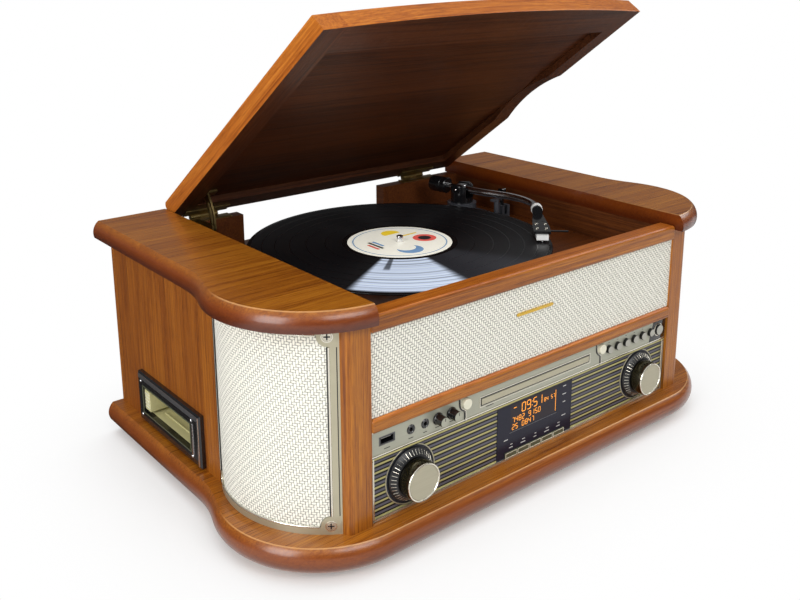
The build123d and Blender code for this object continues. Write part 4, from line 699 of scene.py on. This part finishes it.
class Shape:
    """A mesh in the making, in millimetres."""

    def __init__(self):
        self.mesh = bmesh.new()

    def ring(self, points):
        return [self.mesh.verts.new(point) for point in points]

    def bridge(self, low, high):
        """Joins two rings of points. A ring of one point is a tip."""
        count = max(len(low), len(high))
        for i in range(count):
            j = (i + 1) % count
            corners = [low[i % len(low)], low[j % len(low)], high[j % len(high)], high[i % len(high)]]
            self.mesh.faces.new(list(dict.fromkeys(corners)))

    def lathe(self, place, profile, steps=64):
        """Turns a profile of (radius, height) round the place's Z."""
        rings = []
        for radius, height in profile:
            turns = steps if radius > 0 else 1
            angles = [2 * pi * i / steps for i in range(turns)]
            spots = [Vector((radius * cos(a), radius * sin(a), height)) for a in angles]
            rings.append(self.ring([place @ spot for spot in spots]))
        for low, high in zip(rings, rings[1:]):
            self.bridge(low, high)
        return self

    def slab(self, place, outline, thick, soft=0.0):
        """Raises an outline of (x, y) by thick, with its upper edges rounded by soft."""
        floor = self.ring([place @ Vector((x, y, 0)) for x, y in outline])
        roof = self.ring([place @ Vector((x, y, thick)) for x, y in outline])
        self.bridge(floor, roof)
        self.mesh.faces.new(floor[::-1])
        top = self.mesh.faces.new(roof)
        if soft:
            edges = list(top.edges)
            bmesh.ops.bevel(self.mesh, geom=edges, offset=soft, segments=2, profile=0.5, affect="EDGES")
        return self

    def bar(self, place, across, up, thick, soft=0.0, corner=0.0):
        """A block that is centred on the place and stands thick out of it."""
        return self.slab(place, rounded(across, up, corner), thick, soft)

    def tube(self, path, radius, steps):
        """A round rod along points."""
        points = [Vector(p) for p in path]
        ways = [(b - a).normalized() for a, b in zip(points, points[1:])]
        ways = [ways[0], *[(a + b).normalized() for a, b in zip(ways, ways[1:])], ways[-1]]
        side = ways[0].orthogonal().normalized()
        rings = [self.ring([points[0]])]
        for point, way in zip(points, ways):
            side = (side - way * side.dot(way)).normalized()
            other = way.cross(side)
            angles = [2 * pi * i / steps for i in range(steps)]
            rings.append(self.ring([point + (side * cos(a) + other * sin(a)) * radius for a in angles]))
        rings.append(self.ring([points[-1]]))
        for low, high in zip(rings, rings[1:]):
            self.bridge(low, high)
        return self

    def piece(self, name, finish, body, slot, *nodes):
        """Ends the shape as an object that rides on a body and stands for CAD nodes, if any are given."""
        bmesh.ops.remove_doubles(self.mesh, verts=self.mesh.verts, dist=0.0005)
        bmesh.ops.recalc_face_normals(self.mesh, faces=self.mesh.faces)
        bmesh.ops.scale(self.mesh, vec=(MM, MM, MM), verts=self.mesh.verts)
        data = bpy.data.meshes.new(name)
        self.mesh.to_mesh(data)
        self.mesh.free()
        data.shade_smooth()
        data.set_sharp_from_angle(angle=SHARP_EDGE)
        data.materials.append(finish)
        thing = bpy.data.objects.new(name, data)
        bpy.context.scene.collection.objects.link(thing)
        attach(thing, body)
        if nodes:
            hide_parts(*nodes)
        return thing


def rounded(across, up, corner=0.0, steps=6):
    """Outline of a rectangle round the middle, with rounded corners."""
    if not corner:
        return [(-across / 2, -up / 2), (across / 2, -up / 2), (across / 2, up / 2), (-across / 2, up / 2)]
    outline = []
    for quarter, (sx, sy) in enumerate(((1, 1), (-1, 1), (-1, -1), (1, -1))):
        for i in range(steps + 1):
            a = (quarter + i / steps) * pi / 2
            x = sx * (across / 2 - corner) + corner * cos(a)
            y = sy * (up / 2 - corner) + corner * sin(a)
            outline.append((x, y))
    return outline


def smooth_path(points, steps):
    """A smooth line through points."""
    points = [Vector(p) for p in points]
    ends = [2 * points[0] - points[1], *points, 2 * points[-1] - points[-2]]
    path = []
    for a, b, c, d in zip(ends, ends[1:], ends[2:], ends[3:]):
        for i in range(steps):
            t = i / steps
            bend = 2 * a - 5 * b + 4 * c - d
            twist = 3 * b - a - 3 * c + d
            path.append(0.5 * (2 * b + (c - a) * t + bend * t**2 + twist * t**3))
    return [*path, points[-1]]


# ======== knobs
TICKS = 40  # bright lines round the skirt of a large knob


def big_knob(body, x):
    """Skirt, body and inset cap of one of the two large knobs."""
    place = facing(x, STRIPED_FACE - 0.3, KNOB_Z)
    skirt = [(3.2, 0), (23, 0), (23, 1.0), (22.6, 1.5), (18.2, 5.4), (17.4, 5.6), (17.2, 5.0), (16.2, 5.0)]
    Shape().lathe(place, skirt, 96).piece(f"{body}_skirt", SATIN_BLACK, body, "knob", body)
    grip = [(16.2, 4.8), (16.6, 5.6), (16.8, 6.4), (16.8, 16.6), (16.5, 17.4)]
    Shape().lathe(place, grip, 96).piece(f"{body}_grip", SMOKED, body, "knob")
    rim = [(16.5, 17.4), (16.3, 17.9), (15.8, 18.1), (15.3, 17.9), (15.1, 17.4), (14.9, 17.1)]
    Shape().lathe(place, rim, 96).piece(f"{body}_rim", BRIGHT, body, "chrome")
    cap = [(15.1, 17.0), (14.6, 17.35), (14.0, 17.4), (0, 17.5)]
    Shape().lathe(place, cap, 96).piece(f"{body}_cap", CAP_SATIN, body, "champagne")
    ticks = Shape()
    for i in range(TICKS):
        a = 2 * pi * i / TICKS
        start = place @ Vector((22.0 * cos(a), 22.0 * sin(a), 2.1))
        end = place @ Vector((18.6 * cos(a), 18.6 * sin(a), 5.15))
        ticks.tube([start, end], 0.22, 6)
    ticks.piece(f"{body}_ticks", BRIGHT, body, "chrome")


def knob_ring(side, x):
    """Thin ring on the striped sheet, round a large knob."""
    ring = [(25.1, 0), (25.1, 0.5), (25.3, 0.65), (25.8, 0.65), (26.0, 0.5), (26.0, 0)]
    shape = Shape().lathe(facing(x, STRIPED_FACE, KNOB_Z), ring, 96)
    shape.piece(f"{side}_knob_ring", CHAMPAGNE, "cabinet", "champagne")


def tone_knob(body, x):
    """Side, cap and pointer of a small knob on the strip."""
    place = facing(x, FASCIA_FACE - 0.3, CONTROL_Z)
    side = [(1.6, 0), (5.4, 0), (5.4, 0.8), (5.0, 1.3), (4.6, 2.0), (4.4, 8.6), (4.2, 9.2)]
    Shape().lathe(place, side, 48).piece(f"{body}_side", GLOSS_BLACK, body, "knob", body)
    cap = [(4.2, 9.1), (4.2, 9.4), (3.8, 9.6), (0, 9.6)]
    Shape().lathe(place, cap, 48).piece(f"{body}_cap", FASCIA_SILVER, body, "chrome")
    pointer = place @ Matrix.Translation((0, 2.4, 9.6))
    Shape().bar(pointer, 0.7, 2.6, 0.12, 0.05).piece(f"{body}_pointer", GLOSS_BLACK, body, "knob")


big_knob("volume_knob", -KNOB_X)
big_knob("tuning_knob", KNOB_X)
knob_ring("volume", -KNOB_X)
knob_ring("tuning", KNOB_X)
tone_knob("bass_knob", BASS_X)
tone_knob("treble_knob", TREBLE_X)


# ======== fascia
SHEET_TOP = 88.0  # the stripes run up to here over the foot of the strip
GROOVE = 0.9
EDGE_LINE = 1.2
SHEET_PROUD = 1.9


def fascia_bar(name, across, up, face, proud, finish=BRIGHT, slot="fascia", soft=0.15):
    """A bar between two places in X and two in Z."""
    x0, x1 = across
    z0, z1 = up
    place = facing((x0 + x1) / 2, face, (z0 + z1) / 2)
    Shape().bar(place, x1 - x0, z1 - z0, proud, soft).piece(name, finish, "cabinet", slot)


def make_fascia_lines():
    """Bright lines round the strip and the striped sheet, and a black bar of painted shade for the groove
    between them.
    """
    whole = (-FASCIA_X, FASCIA_X)
    band_top = SHEET_TOP - GROOVE
    within = (-FASCIA_X + 0.4, FASCIA_X - 0.4)
    fascia_bar("strip_top_line", within, (FASCIA_TOP - 1.3, FASCIA_TOP - 0.3), FASCIA_FACE, 0.35)
    fascia_bar("strip_low_line", whole, (SHEET_TOP, SHEET_TOP + 1.1), FASCIA_FACE, 0.7)
    # The groove is a black bar of painted shade.
    fascia_bar("strip_groove_shade", whole, (band_top, SHEET_TOP), FASCIA_FACE, 0.3, GLOSS_BLACK, soft=0.05)
    fascia_bar("sheet_top_band", whole, (STRIPES_TOP, band_top), FASCIA_FACE, 0.2, STRIPED, "stripes", 0.05)
    foot = (STRIPES_LOW, STRIPES_LOW + EDGE_LINE)
    fascia_bar("sheet_low_line", (-STRIPES_X, STRIPES_X), foot, STRIPED_FACE, SHEET_PROUD)
    for side, x in (("left", -STRIPES_X), ("right", STRIPES_X - EDGE_LINE)):
        upright = (STRIPES_LOW, band_top)
        fascia_bar(f"sheet_{side}_line", (x, x + EDGE_LINE), upright, STRIPED_FACE, SHEET_PROUD)


make_fascia_lines()

SEPARATOR_LOW = 87.2
SEPARATOR_BEND = ((-7.2, 105.5), (-6.6, 101.5), (-4.4, 98.6), (-1.8, 96.8), (-1.2, 94.0))


def separator(side, middle):
    """The S-shaped dark groove beside a round button, and a bright line along it that is a painted highlight
    on the groove's lit edge.
    """
    spots = [(-7.2, FASCIA_TOP - 0.6), *SEPARATOR_BEND, (-1.2, SEPARATOR_LOW)]
    # The bright edge tube is a painted highlight.
    for name, shift, width, finish in (("groove", 0.0, 0.75, GLOSS_BLACK), ("edge", 1.5, 0.5, BRIGHT)):
        path = smooth_path([(middle + dx + shift, FASCIA_FACE, z) for dx, z in spots], 6)
        Shape().tube(path, width, 10).piece(f"{side}_separator_{name}", finish, "cabinet", "fascia")


separator("left", -ROUND_X)
separator("right", ROUND_X)


def jack(name, x):
    """Black ring and bright contact of a round socket."""
    place = facing(x, FASCIA_FACE, CONTROL_Z)
    ring = [(2.6, -1.5), (2.6, 0.42), (2.9, 0.7), (3.7, 0.7), (4.2, 0.2), (4.2, 0)]
    Shape().lathe(place, ring, 48).piece(f"{name}_ring", GLOSS_BLACK, "cabinet", "black_plastic")
    tip = [(1.8, -1.0), (1.8, 0.1), (2.1, 0.3), (2.6, 0.3), (2.6, -1.0)]
    Shape().lathe(place, tip, 32).piece(f"{name}_contact", STEEL, "cabinet", "steel")


jack("aux", AUX_X)
jack("headphone", HEADPHONE_X)


def frame_lines(shape, place, across, up, width, proud):
    """A raised thin rectangle, from the middle of one line to the middle of the other."""
    for sign in (-1, 1):
        shape.bar(place @ Matrix.Translation((0, sign * up / 2, 0)), across + width, width, proud)
        shape.bar(place @ Matrix.Translation((sign * across / 2, 0, 0)), width, up - width, proud)
    return shape


DOOR_Z = 98.7
END_LEFT = 168.5  # the black end of the strip, round the power button
PRESET_X = 100.0
PRESET_PITCH = 13.1
PRESET_MARK_Z = 106.6
MARK_Z = 92.4


def make_tray_door_lines():
    door = facing(0, FASCIA_FACE, DOOR_Z)
    slot = frame_lines(Shape(), door, 141.4, 6.8, 0.8, 0.12)
    slot.piece("tray_door_slot", GLOSS_BLACK, "cabinet", "black_plastic")
    edge = frame_lines(Shape(), door, 144.0, 9.2, 0.7, 0.4)
    edge.piece("tray_door_edge", BRIGHT, "cabinet", "fascia")


def make_strip_end():
    """Black plate at the right end of the strip, and the ring of the power button."""
    low, top = SHEET_TOP + 1.3, FASCIA_TOP - 1.5
    right = FASCIA_X - 0.4
    outline = [(END_LEFT - 4, low), (right, low), (right, top), (END_LEFT + 1.5, top)]
    plate = Shape().slab(facing(0, FASCIA_FACE, 0), outline, 0.25, 0.06)
    plate.piece("strip_end_plate", GLOSS_BLACK, "cabinet", "black_plastic")
    ring = Shape().lathe(
        facing(POWER_X, FASCIA_FACE, CONTROL_Z),
        [(5.8, 0.2), (5.8, 0.9), (6.3, 1.1), (6.8, 0.9), (6.9, 0.2)],
        48,
    )
    ring.piece("power_ring", BRIGHT, "cabinet", "fascia")


def make_usb_trim():
    edge = frame_lines(Shape(), facing(USB_X, FASCIA_FACE, CONTROL_Z), 15.6, 7.0, 0.6, 0.25)
    edge.piece("usb_edge", BEVEL_GREY, "cabinet", "fascia")
    tongue = Shape().bar(facing(USB_X, FASCIA_FACE + 2.5, CONTROL_Z + 1.4), 9.6, 0.9, 1.2)
    tongue.piece("usb_tongue", PALE_PRINT, "cabinet", "cream_plastic")


def make_strip_marks():
    """Plain bars over the presets and under the sockets and knobs."""
    marks = Shape()
    for i in range(6):
        marks.bar(facing(PRESET_X + PRESET_PITCH * i, FASCIA_FACE, PRESET_MARK_Z), 2.2, 0.5, 0.06)
    for x, width in ((USB_X, 6.0), (AUX_X, 5.0), (HEADPHONE_X, 4.0), (BASS_X, 5.0), (TREBLE_X, 6.5)):
        marks.bar(facing(x, FASCIA_FACE, MARK_Z), width, 0.7, 0.06)
    marks.bar(facing(-60.0, FASCIA_FACE, MARK_Z + 0.2), 9.0, 0.7, 0.06)
    marks.piece("strip_marks", SATIN_BLACK, "cabinet", "fascia")


make_tray_door_lines()
make_strip_end()
make_usb_trim()
make_strip_marks()

# ======== display and keys
SEGMENTS = {
    "0": "abcdef",
    "1": "bc",
    "2": "abdeg",
    "4": "bcfg",
    "5": "acdfg",
    "7": "abc",
    "8": "abcdefg",
    "9": "abcdfg",
}
LEVEL_SEGMENTS = {"a": 1, "g": 0, "d": -1}
UPRIGHT_SEGMENTS = {"f": (-1, 1), "b": (1, 1), "e": (-1, -1), "c": (1, -1)}


def figures(shape, text, x, z, width, height, stroke, pitch):
    """A row of seven-bar figures. The middle of the first is at x, z, and a space leaves one out."""
    for figure in text:
        for key in SEGMENTS.get(figure, ""):
            if key in LEVEL_SEGMENTS:
                spot = facing(x, WINDOW_FACE, z + LEVEL_SEGMENTS[key] * height / 2)
                shape.bar(spot, width - stroke, stroke, 0.08)
            else:
                right, up = UPRIGHT_SEGMENTS[key]
                spot = facing(x + right * width / 2, WINDOW_FACE, z + up * height / 4)
                shape.bar(spot, stroke, height / 2 - stroke * 0.4, 0.08)
        x += pitch


def make_display():
    """Lit figures, printed bars and the outlines of the five keys."""
    lit = Shape()
    figures(lit, "09", -16.0, 76.5, 4.4, 8.4, 0.9, 6.6)
    figures(lit, "51", -1.0, 76.5, 4.4, 8.4, 0.9, 6.6)
    for z in (74.6, 78.4):
        lit.bar(facing(-5.2, WINDOW_FACE, z), 0.9, 0.9, 0.08)
    figures(lit, "84 57", 12.0, 74.6, 1.9, 3.6, 0.55, 3.1)
    figures(lit, "7482 9150", -29.0, 67.3, 2.6, 4.8, 0.65, 4.2)
    figures(lit, "25 0847", -29.0, 60.6, 2.6, 4.8, 0.65, 4.2)
    lit.bar(facing(-27.0, WINDOW_FACE, 79.0), 3.4, 0.8, 0.08)
    lit.bar(facing(26.6, WINDOW_FACE, 69.0), 0.7, 21.0, 0.08)
    lit.piece("display_figures", AMBER, "cabinet", "display")
    line = Shape().bar(facing(-2.5, WINDOW_FACE, 56.0), 62.0, 0.5, 0.06)
    line.piece("display_line", BEVEL_GREY, "cabinet", "display")
    prints = Shape()
    for i, width in enumerate((4.6, 6.0, 3.6, 6.4, 5.0)):
        x = KEY_PITCH * (i - 2)
        prints.bar(facing(x, WINDOW_FACE, 41.6), width, 0.8, 0.06)
        prints.bar(facing(x + 0.6, WINDOW_FACE, 44.6), width * 0.6, 0.7, 0.06)
    for z, width in ((80.0, 4.0), (72.0, 5.0), (64.0, 3.6), (50.5, 5.4)):
        prints.bar(facing(38.5, WINDOW_FACE, z), width, 0.8, 0.06)
    prints.bar(facing(-38.0, WINDOW_FACE, 50.5), 5.0, 0.8, 0.06)
    prints.piece("display_prints", WHITE_PRINT, "cabinet", "display")
    for i in range(1, 6):
        node = f"display_button_{i}"
        face = span(node, "y")[0]
        place = facing(KEY_PITCH * (i - 3), face, KEY_Z)
        outline = frame_lines(Shape(), place, 14.2, 4.5, 0.55, 0.12)
        outline.piece(f"{node}_outline", IVORY, node, "key")


make_display()

# ======== front cloth and speaker frames
gold_bar = Shape().bar(facing(-8.0, PANEL_FACE, 168.0), 46.0, 2.6, 1.3, 0.4, 1.2)
gold_bar.piece("front_gold_bar", GOLD, "cabinet", "brass")

LIP_R = 1.0
WINDOW_LOW = span("speaker_frames", "z")[0] + 6.5
WINDOW_HIGH = span("speaker_frames", "z")[1] - 6.5
EAR_SPOTS = (radians(-54.4), radians(23.0))
LIP_ENDS = (radians(-49.0), radians(17.5))  # the level lips run between these
LIP_SINK = -0.3
END_DROP = 9.5  # the upright lines stop this far from the corners


def on_grille(side, angle, z, out=0.0):
    """A point on the curved face of the speaker frame on one side."""
    radius = GRILLE_R + out
    return Vector((side * (GRILLE_X + radius * cos(angle)), GRILLE_Y + radius * sin(angle), z))


def speaker_trim(name, side):
    """Lip round a speaker cloth with dark lines of painted shade for the grooves beside it, and the rings
    and crosses of its screws.
    """
    ends = (WINDOW_LOW + END_DROP, WINDOW_HIGH - END_DROP)
    low, high = LIP_ENDS
    lip = Shape()
    for z in (WINDOW_LOW, WINDOW_HIGH):
        lip.tube([on_grille(side, low + (high - low) * i / 24, z, LIP_SINK) for i in range(25)], LIP_R, 12)
    for angle in (radians(-55.0), radians(23.9)):
        lip.tube([on_grille(side, angle, z, LIP_SINK) for z in ends], LIP_R, 12)
    lip.piece(f"{name}_speaker_lip", BRIGHT, "cabinet", "champagne")
    # Dark tubes of painted shade along the grooves by the lip.
    groove = Shape()
    for angle in (radians(-54.2), radians(-58.6), radians(23.1)):
        groove.tube([on_grille(side, angle, z, -0.25) for z in ends], 0.5, 10)
    groove.piece(f"{name}_speaker_groove_shade", SATIN_BLACK, "cabinet", "champagne")
    rings = Shape()
    crosses = Shape()
    for angle in EAR_SPOTS:
        for z in (WINDOW_LOW + 1.0, WINDOW_HIGH - 1.0):
            spot = on_grille(side, angle, z)
            out = on_grille(side, angle, z, 1) - spot
            rings.lathe(toward(spot, out), [(3.8, 0), (3.9, 0.35), (4.6, 0.35), (4.7, 0)], 32)
            cross = toward(on_grille(side, angle, z, 0.42), out)
            crosses.bar(cross, 5.0, 1.1, 0.08)
            crosses.bar(cross, 1.1, 5.0, 0.08)
    rings.piece(f"{name}_screw_rings", BRIGHT, "cabinet", "champagne")
    crosses.piece(f"{name}_screw_crosses", SATIN_BLACK, "cabinet", "screw")


speaker_trim("left", -1)
speaker_trim("right", 1)

# ======== record and spindle
label_face = [(3.8, 0.0), (3.8, 0.12), (LABEL_R - 0.4, 0.12), (LABEL_R, 0.0)]
record_face = upward(PLATTER_X, PLATTER_Y, RECORD_TOP)
Shape().lathe(record_face, label_face, 128).piece("record_label", label_paper(), "turntable", "cream")
spindle = [(3.55, 0.0), (3.55, 5.0), (3.3, 5.9), (2.5, 6.4), (1.2, 6.6), (0, 6.65)]
Shape().lathe(record_face, spindle, 40).piece("spindle_cap", CHROME, "turntable", "chrome")

# ======== tonearm
ARM_REAR = Vector((cos(ARM_BACK), sin(ARM_BACK), 0))
COLLAR_END = Vector((134.5, -29.5, ARM_Z))
STYLUS = Vector((82.0, -86.0, ARM_Z))
SHELL_WAY = (STYLUS - COLLAR_END).normalized()
ARM_PIVOT = Vector((ARM_X, ARM_Y, ARM_Z))


def make_arm_trim():
    """Collar, counterweight and headshell fasteners."""
    low_ring = [(4.1, -7.5), (5.7, -7.3), (6.2, -6.4), (6.2, -4.8), (5.8, -4.2)]
    high_ring = [(6.2, -3.6), (6.2, -0.6), (5.7, 0.2), (3.5, 0.4)]
    collar = Shape().lathe(toward(COLLAR_END, SHELL_WAY), low_ring + high_ring, 40)
    # The collar is chrome, given plain white as a painted highlight.
    collar.piece("arm_collar_ring", WHITE, "tonearm", "chrome")
    end = [(3.0, 0.0), (3.0, 3.0), (2.6, 3.6), (0, 3.8)]
    place = toward(ARM_PIVOT + ARM_REAR * 43.0, ARM_REAR)
    Shape().lathe(place, end, 32).piece("counterweight_stub", CHROME, "tonearm", "chrome")
    front = [(2.0, -0.6), (8.6, -0.6), (9.3, 0.2), (9.3, 6.0), (8.9, 6.5)]
    rear = [(9.3, 7.0), (9.3, 20.5), (8.6, 21.8), (3.2, 22.6), (0, 22.6)]
    drum = Shape().lathe(toward(ARM_PIVOT + ARM_REAR * 21.0, ARM_REAR), front + rear, 64)
    drum.piece("counterweight_drum", GLOSS_BLACK, "tonearm", "black_plastic", "counterweight")
    screws = Shape()
    side = SHELL_WAY.cross(Vector((0, 0, 1)))
    for back in (30.0, 14.0):
        for across in (-4.6, 4.6):
            spot = STYLUS - SHELL_WAY * back + side * across
            head = [(1.6, -0.2), (1.6, 0.6), (1.3, 0.9), (0, 1.0)]
            screws.lathe(upward(spot.x, spot.y, ARM_Z - 2.0), head, 24)
    screws.piece("headshell_screws", BRIGHT, "tonearm", "chrome")
    holes = Shape()
    for across in (-3.4, 3.4):
        spot = STYLUS - SHELL_WAY * 40.0 + side * across
        hole = [(0, 0.02), (1.2, 0.02), (1.2, 0.1), (1.5, 0.1), (1.5, 0.0)]
        holes.lathe(upward(spot.x, spot.y, ARM_Z - 2.0), hole, 20)
    holes.piece("headshell_holes", RUBBER, "tonearm", "black_plastic")


make_arm_trim()


def make_pivot_trim():
    """Round covers on both sides of the yoke, with a chrome pin in the middle of each."""
    out = ARM_REAR.cross(Vector((0, 0, 1)))
    discs = Shape()
    for sign in (-1, 1):
        place = toward(ARM_PIVOT + out * (12.2 * sign), out * sign)
        discs.lathe(place, [(5.6, 0.0), (5.6, 0.9), (5.2, 1.3), (2.4, 1.3), (2.2, 0.8), (0, 0.8)], 40)
    discs.piece("pivot_discs", GLOSS_BLACK, "arm_pivot", "black_plastic")
    pins = Shape()
    for sign in (-1, 1):
        place = toward(ARM_PIVOT + out * (13.0 * sign), out * sign)
        pins.lathe(place, [(1.5, 0.0), (1.5, 0.7), (1.1, 1.0), (0, 1.05)], 24)
    pins.piece("pivot_pins", CHROME, "arm_pivot", "chrome")


make_pivot_trim()

# ======== cassette slot
BEZEL_FACE = span("cassette_bezel", "x")[0]
BEZEL_FRONT, BEZEL_REAR = span("cassette_bezel", "y")
BEZEL_LOW, BEZEL_TOP = span("cassette_bezel", "z")
SLOT_FRONT, SLOT_REAR = 15.0, 111.0
SLOT_LOW, SLOT_TOP = 44.0, 70.0


def side_bar(name, front, rear, low, high, proud, finish, slot):
    """A bar on the bezel, between two places in Y and two in Z."""
    place = leftward(BEZEL_FACE, (front + rear) / 2, (low + high) / 2)
    Shape().bar(place, rear - front, high - low, proud, 0.15).piece(name, finish, "cabinet", slot)


def make_bezel_trim():
    """Bevel, chrome edges, slot edge, floor ridges and screws of the cassette slot."""
    high = BEZEL_TOP - 1.6
    front, rear = BEZEL_FRONT + 2, BEZEL_REAR - 2
    side_bar("bezel_top_bevel", front, rear, BEZEL_TOP - 6.0, high, 0.5, BEVEL_GREY, "black_plastic")
    front, rear = BEZEL_FRONT + 1.6, BEZEL_FRONT + 3.6
    side_bar("bezel_chrome_edge", front, rear, BEZEL_LOW + 2, high, 0.7, CHROME, "chrome")
    front, rear = SLOT_FRONT - 5.5, SLOT_FRONT - 3.5
    side_bar("bezel_inner_chrome", front, rear, SLOT_LOW - 3, SLOT_TOP + 2, 0.6, CHROME, "chrome")
    slot = leftward(BEZEL_FACE, (SLOT_FRONT + SLOT_REAR) / 2, (SLOT_LOW + SLOT_TOP) / 2)
    across, up = SLOT_REAR - SLOT_FRONT + 1.4, SLOT_TOP - SLOT_LOW + 1.4
    edge = frame_lines(Shape(), slot, across, up, 1.0, 0.4)
    edge.piece("cassette_slot_edge", OLIVE, "cabinet", "cream_plastic")
    ridges = Shape()
    for i in range(9):
        ridges.bar(upward(BEZEL_FACE + 14 + 9 * i, 57.0, SLOT_LOW), 1.6, 74.0, 0.9, 0.3)
    ridges.piece("cassette_floor_ridges", CREAM, "cabinet", "cream_plastic")
    screws = Shape()
    for y in (SLOT_FRONT - 3, SLOT_REAR + 4):
        for z in (SLOT_LOW - 4, SLOT_TOP + 4.5):
            screws.lathe(leftward(BEZEL_FACE, y, z), [(1.7, 0), (1.7, 0.4), (1.3, 0.8), (0, 0.9)], 24)
    screws.piece("bezel_screws", CHROME, "cabinet", "screw")


def make_eject_ribs():
    """Level ribs on the face of the eject button."""
    node = "cassette_eject_button"
    face = span(node, "x")[0]
    front, rear = span(node, "y")
    low, high = span(node, "z")
    ribs = Shape()
    for i in range(5):
        z = low + (high - low) * (i + 1) / 6
        ribs.bar(leftward(face, (front + rear) / 2, z), rear - front - 2.0, 1.2, 0.7, 0.3)
    ribs.piece("eject_ribs", IVORY, node, "cream_plastic")


make_bezel_trim()
make_eject_ribs()


def make_rear_trim():
    """Screws and printed bars on the back."""
    face = span("rear_panel", "y")[1]
    low, high = span("rear_panel", "z")
    screws = Shape()
    for x in (-228, -120, 0, 120, 228):
        for z in (low + 8, 146.0):
            screws.lathe(rearward(x, face, z), [(2.8, 0), (2.8, 0.5), (2.2, 1.1), (0, 1.2)], 28)
    screws.piece("rear_screws", STEEL, "cabinet", "screw")
    prints = Shape()
    for x, width in ((-150, 22.0), (68, 26.0), (130, 12.0)):
        prints.bar(rearward(x, face, 54.0), width, 1.6, 0.08)
    prints.piece("rear_prints", WHITE_PRINT, "cabinet", "board")
    rings = Shape()
    for x in (60.0, 76.0, 130.0):
        rings.lathe(rearward(x, face, 70.0), [(5.2, 0), (5.2, 0.6), (6.4, 0.6), (6.6, 0)], 32)
    rings.piece("rear_socket_rings", BRIGHT, "cabinet", "black_plastic")


make_rear_trim()


# ======== floor, light and camera
DARK_MIRRORED = (0.03, 0.026, 0.022)  # the floor behind the cabinet, as glossy faces mirror it
FLOOR_HALF = 6.0


def ray(finish, kind):
    """1 where the scene is seen by that kind of ray."""
    return finish.node("ShaderNodeLightPath", None, (), kind)


def stage_finish(name, paint):
    """White ground that shows as white away from the cabinet and keeps a soft shadow under it."""
    ground = Finish(name)
    seen = ray(ground, "Is Camera Ray").most(ray(ground, "Is Transmission Ray"))
    mirrored = ray(ground, "Is Glossy Ray")
    open_sky = ground.node("ShaderNodeAmbientOcclusion", {"samples": 16}, {"Distance": 0.16}, "AO")
    dark_rear = ground.axes()[1].fade(-0.12, 0.12)
    cloud = ground.noise(ground.place(), 3.0)
    white = ground.blend(cloud, [c * 0.98 for c in paint], paint)
    colour = ground.blend(mirrored * dark_rear, white, DARK_MIRRORED)
    matt = ground.node("ShaderNodeBsdfPrincipled", None, {"Base Color": colour, "Roughness": 0.9})
    glow = ground.node("ShaderNodeEmission", None, {"Color": (1, 1, 1), "Strength": 1.0})
    share = seen * (open_sky.fade(0.2, 1.0) * 0.8 + 0.2) + mirrored * (1 - dark_rear) * 0.4
    mixed = ground.node("ShaderNodeMixShader", None, [share, matt, glow])
    ground.node("ShaderNodeOutputMaterial", None, [mixed])
    return ground.material


def make_floor():
    corners = [(x * FLOOR_HALF, y * FLOOR_HALF, 0) for x, y in ((-1, -1), (1, -1), (1, 1), (-1, 1))]
    data = bpy.data.meshes.new("floor")
    data.from_pydata(corners, [], [(0, 1, 2, 3)])
    data.materials.append(stage_finish("white_floor", tone(232, 231, 230)))
    floor = bpy.data.objects.new("floor", data)
    bpy.context.scene.collection.objects.link(floor)


def make_world():
    """White to the camera. What lights the cabinet and mirrors in it is dim low down, bright overhead."""
    sky = Finish("studio", bpy.data.worlds)
    bpy.context.scene.world = sky.material
    seen = ray(sky, "Is Camera Ray").most(ray(sky, "Is Transmission Ray"))
    overhead = sky.axes("Generated")[2].fade(0.35, 0.95)
    glows = [{"Color": (1, 1, 1), "Strength": strength} for strength in (0.12, 0.8, 1.0)]
    low, high, white = (sky.node("ShaderNodeBackground", None, glow) for glow in glows)
    dim = sky.node("ShaderNodeMixShader", None, [overhead, low, high])
    sky.node("ShaderNodeOutputWorld", None, [sky.node("ShaderNodeMixShader", None, [seen, dim, white])])


def softbox(name, spot, aim, width, height, power):
    light = bpy.data.lights.new(name, "AREA")
    light.shape = "RECTANGLE"
    light.size = width
    light.size_y = height
    light.energy = power
    lamp = bpy.data.objects.new(name, light)
    bpy.context.scene.collection.objects.link(lamp)
    lamp.location = spot
    lamp.rotation_euler = (Vector(aim) - Vector(spot)).to_track_quat("-Z", "Y").to_euler()


CAMERA_SPOT = (-584.97, -685.87, 467.38)
CAMERA_DIP = 14.124
CAMERA_TURN = -39.786
CAMERA_LENS = 42.195
CAMERA_SHIFT = (-0.0154, -0.1337)


def make_camera():
    lens = bpy.data.cameras.new("camera")
    lens.sensor_width = 36.0
    lens.lens = CAMERA_LENS
    lens.shift_x, lens.shift_y = CAMERA_SHIFT
    lens.clip_start, lens.clip_end = 0.05, 50.0
    camera = bpy.data.objects.new("camera", lens)
    bpy.context.scene.collection.objects.link(camera)
    camera.location = [c * MM for c in CAMERA_SPOT]
    camera.rotation_euler = (radians(90 - CAMERA_DIP), 0, radians(CAMERA_TURN))
    bpy.context.scene.camera = camera


make_floor()
make_world()
softbox("left_softbox", (-1.9, -0.5, 0.9), (0, 0, 0.15), 0.9, 1.3, 26)
softbox("front_softbox", (-0.2, -2.0, 1.7), (0, 0, 0.1), 1.6, 0.9, 26)
softbox("right_softbox", (2.0, -0.6, 1.5), (0, 0, 0.2), 1.2, 1.2, 14)
make_camera()
bpy.context.scene.view_settings.view_transform = "Standard"
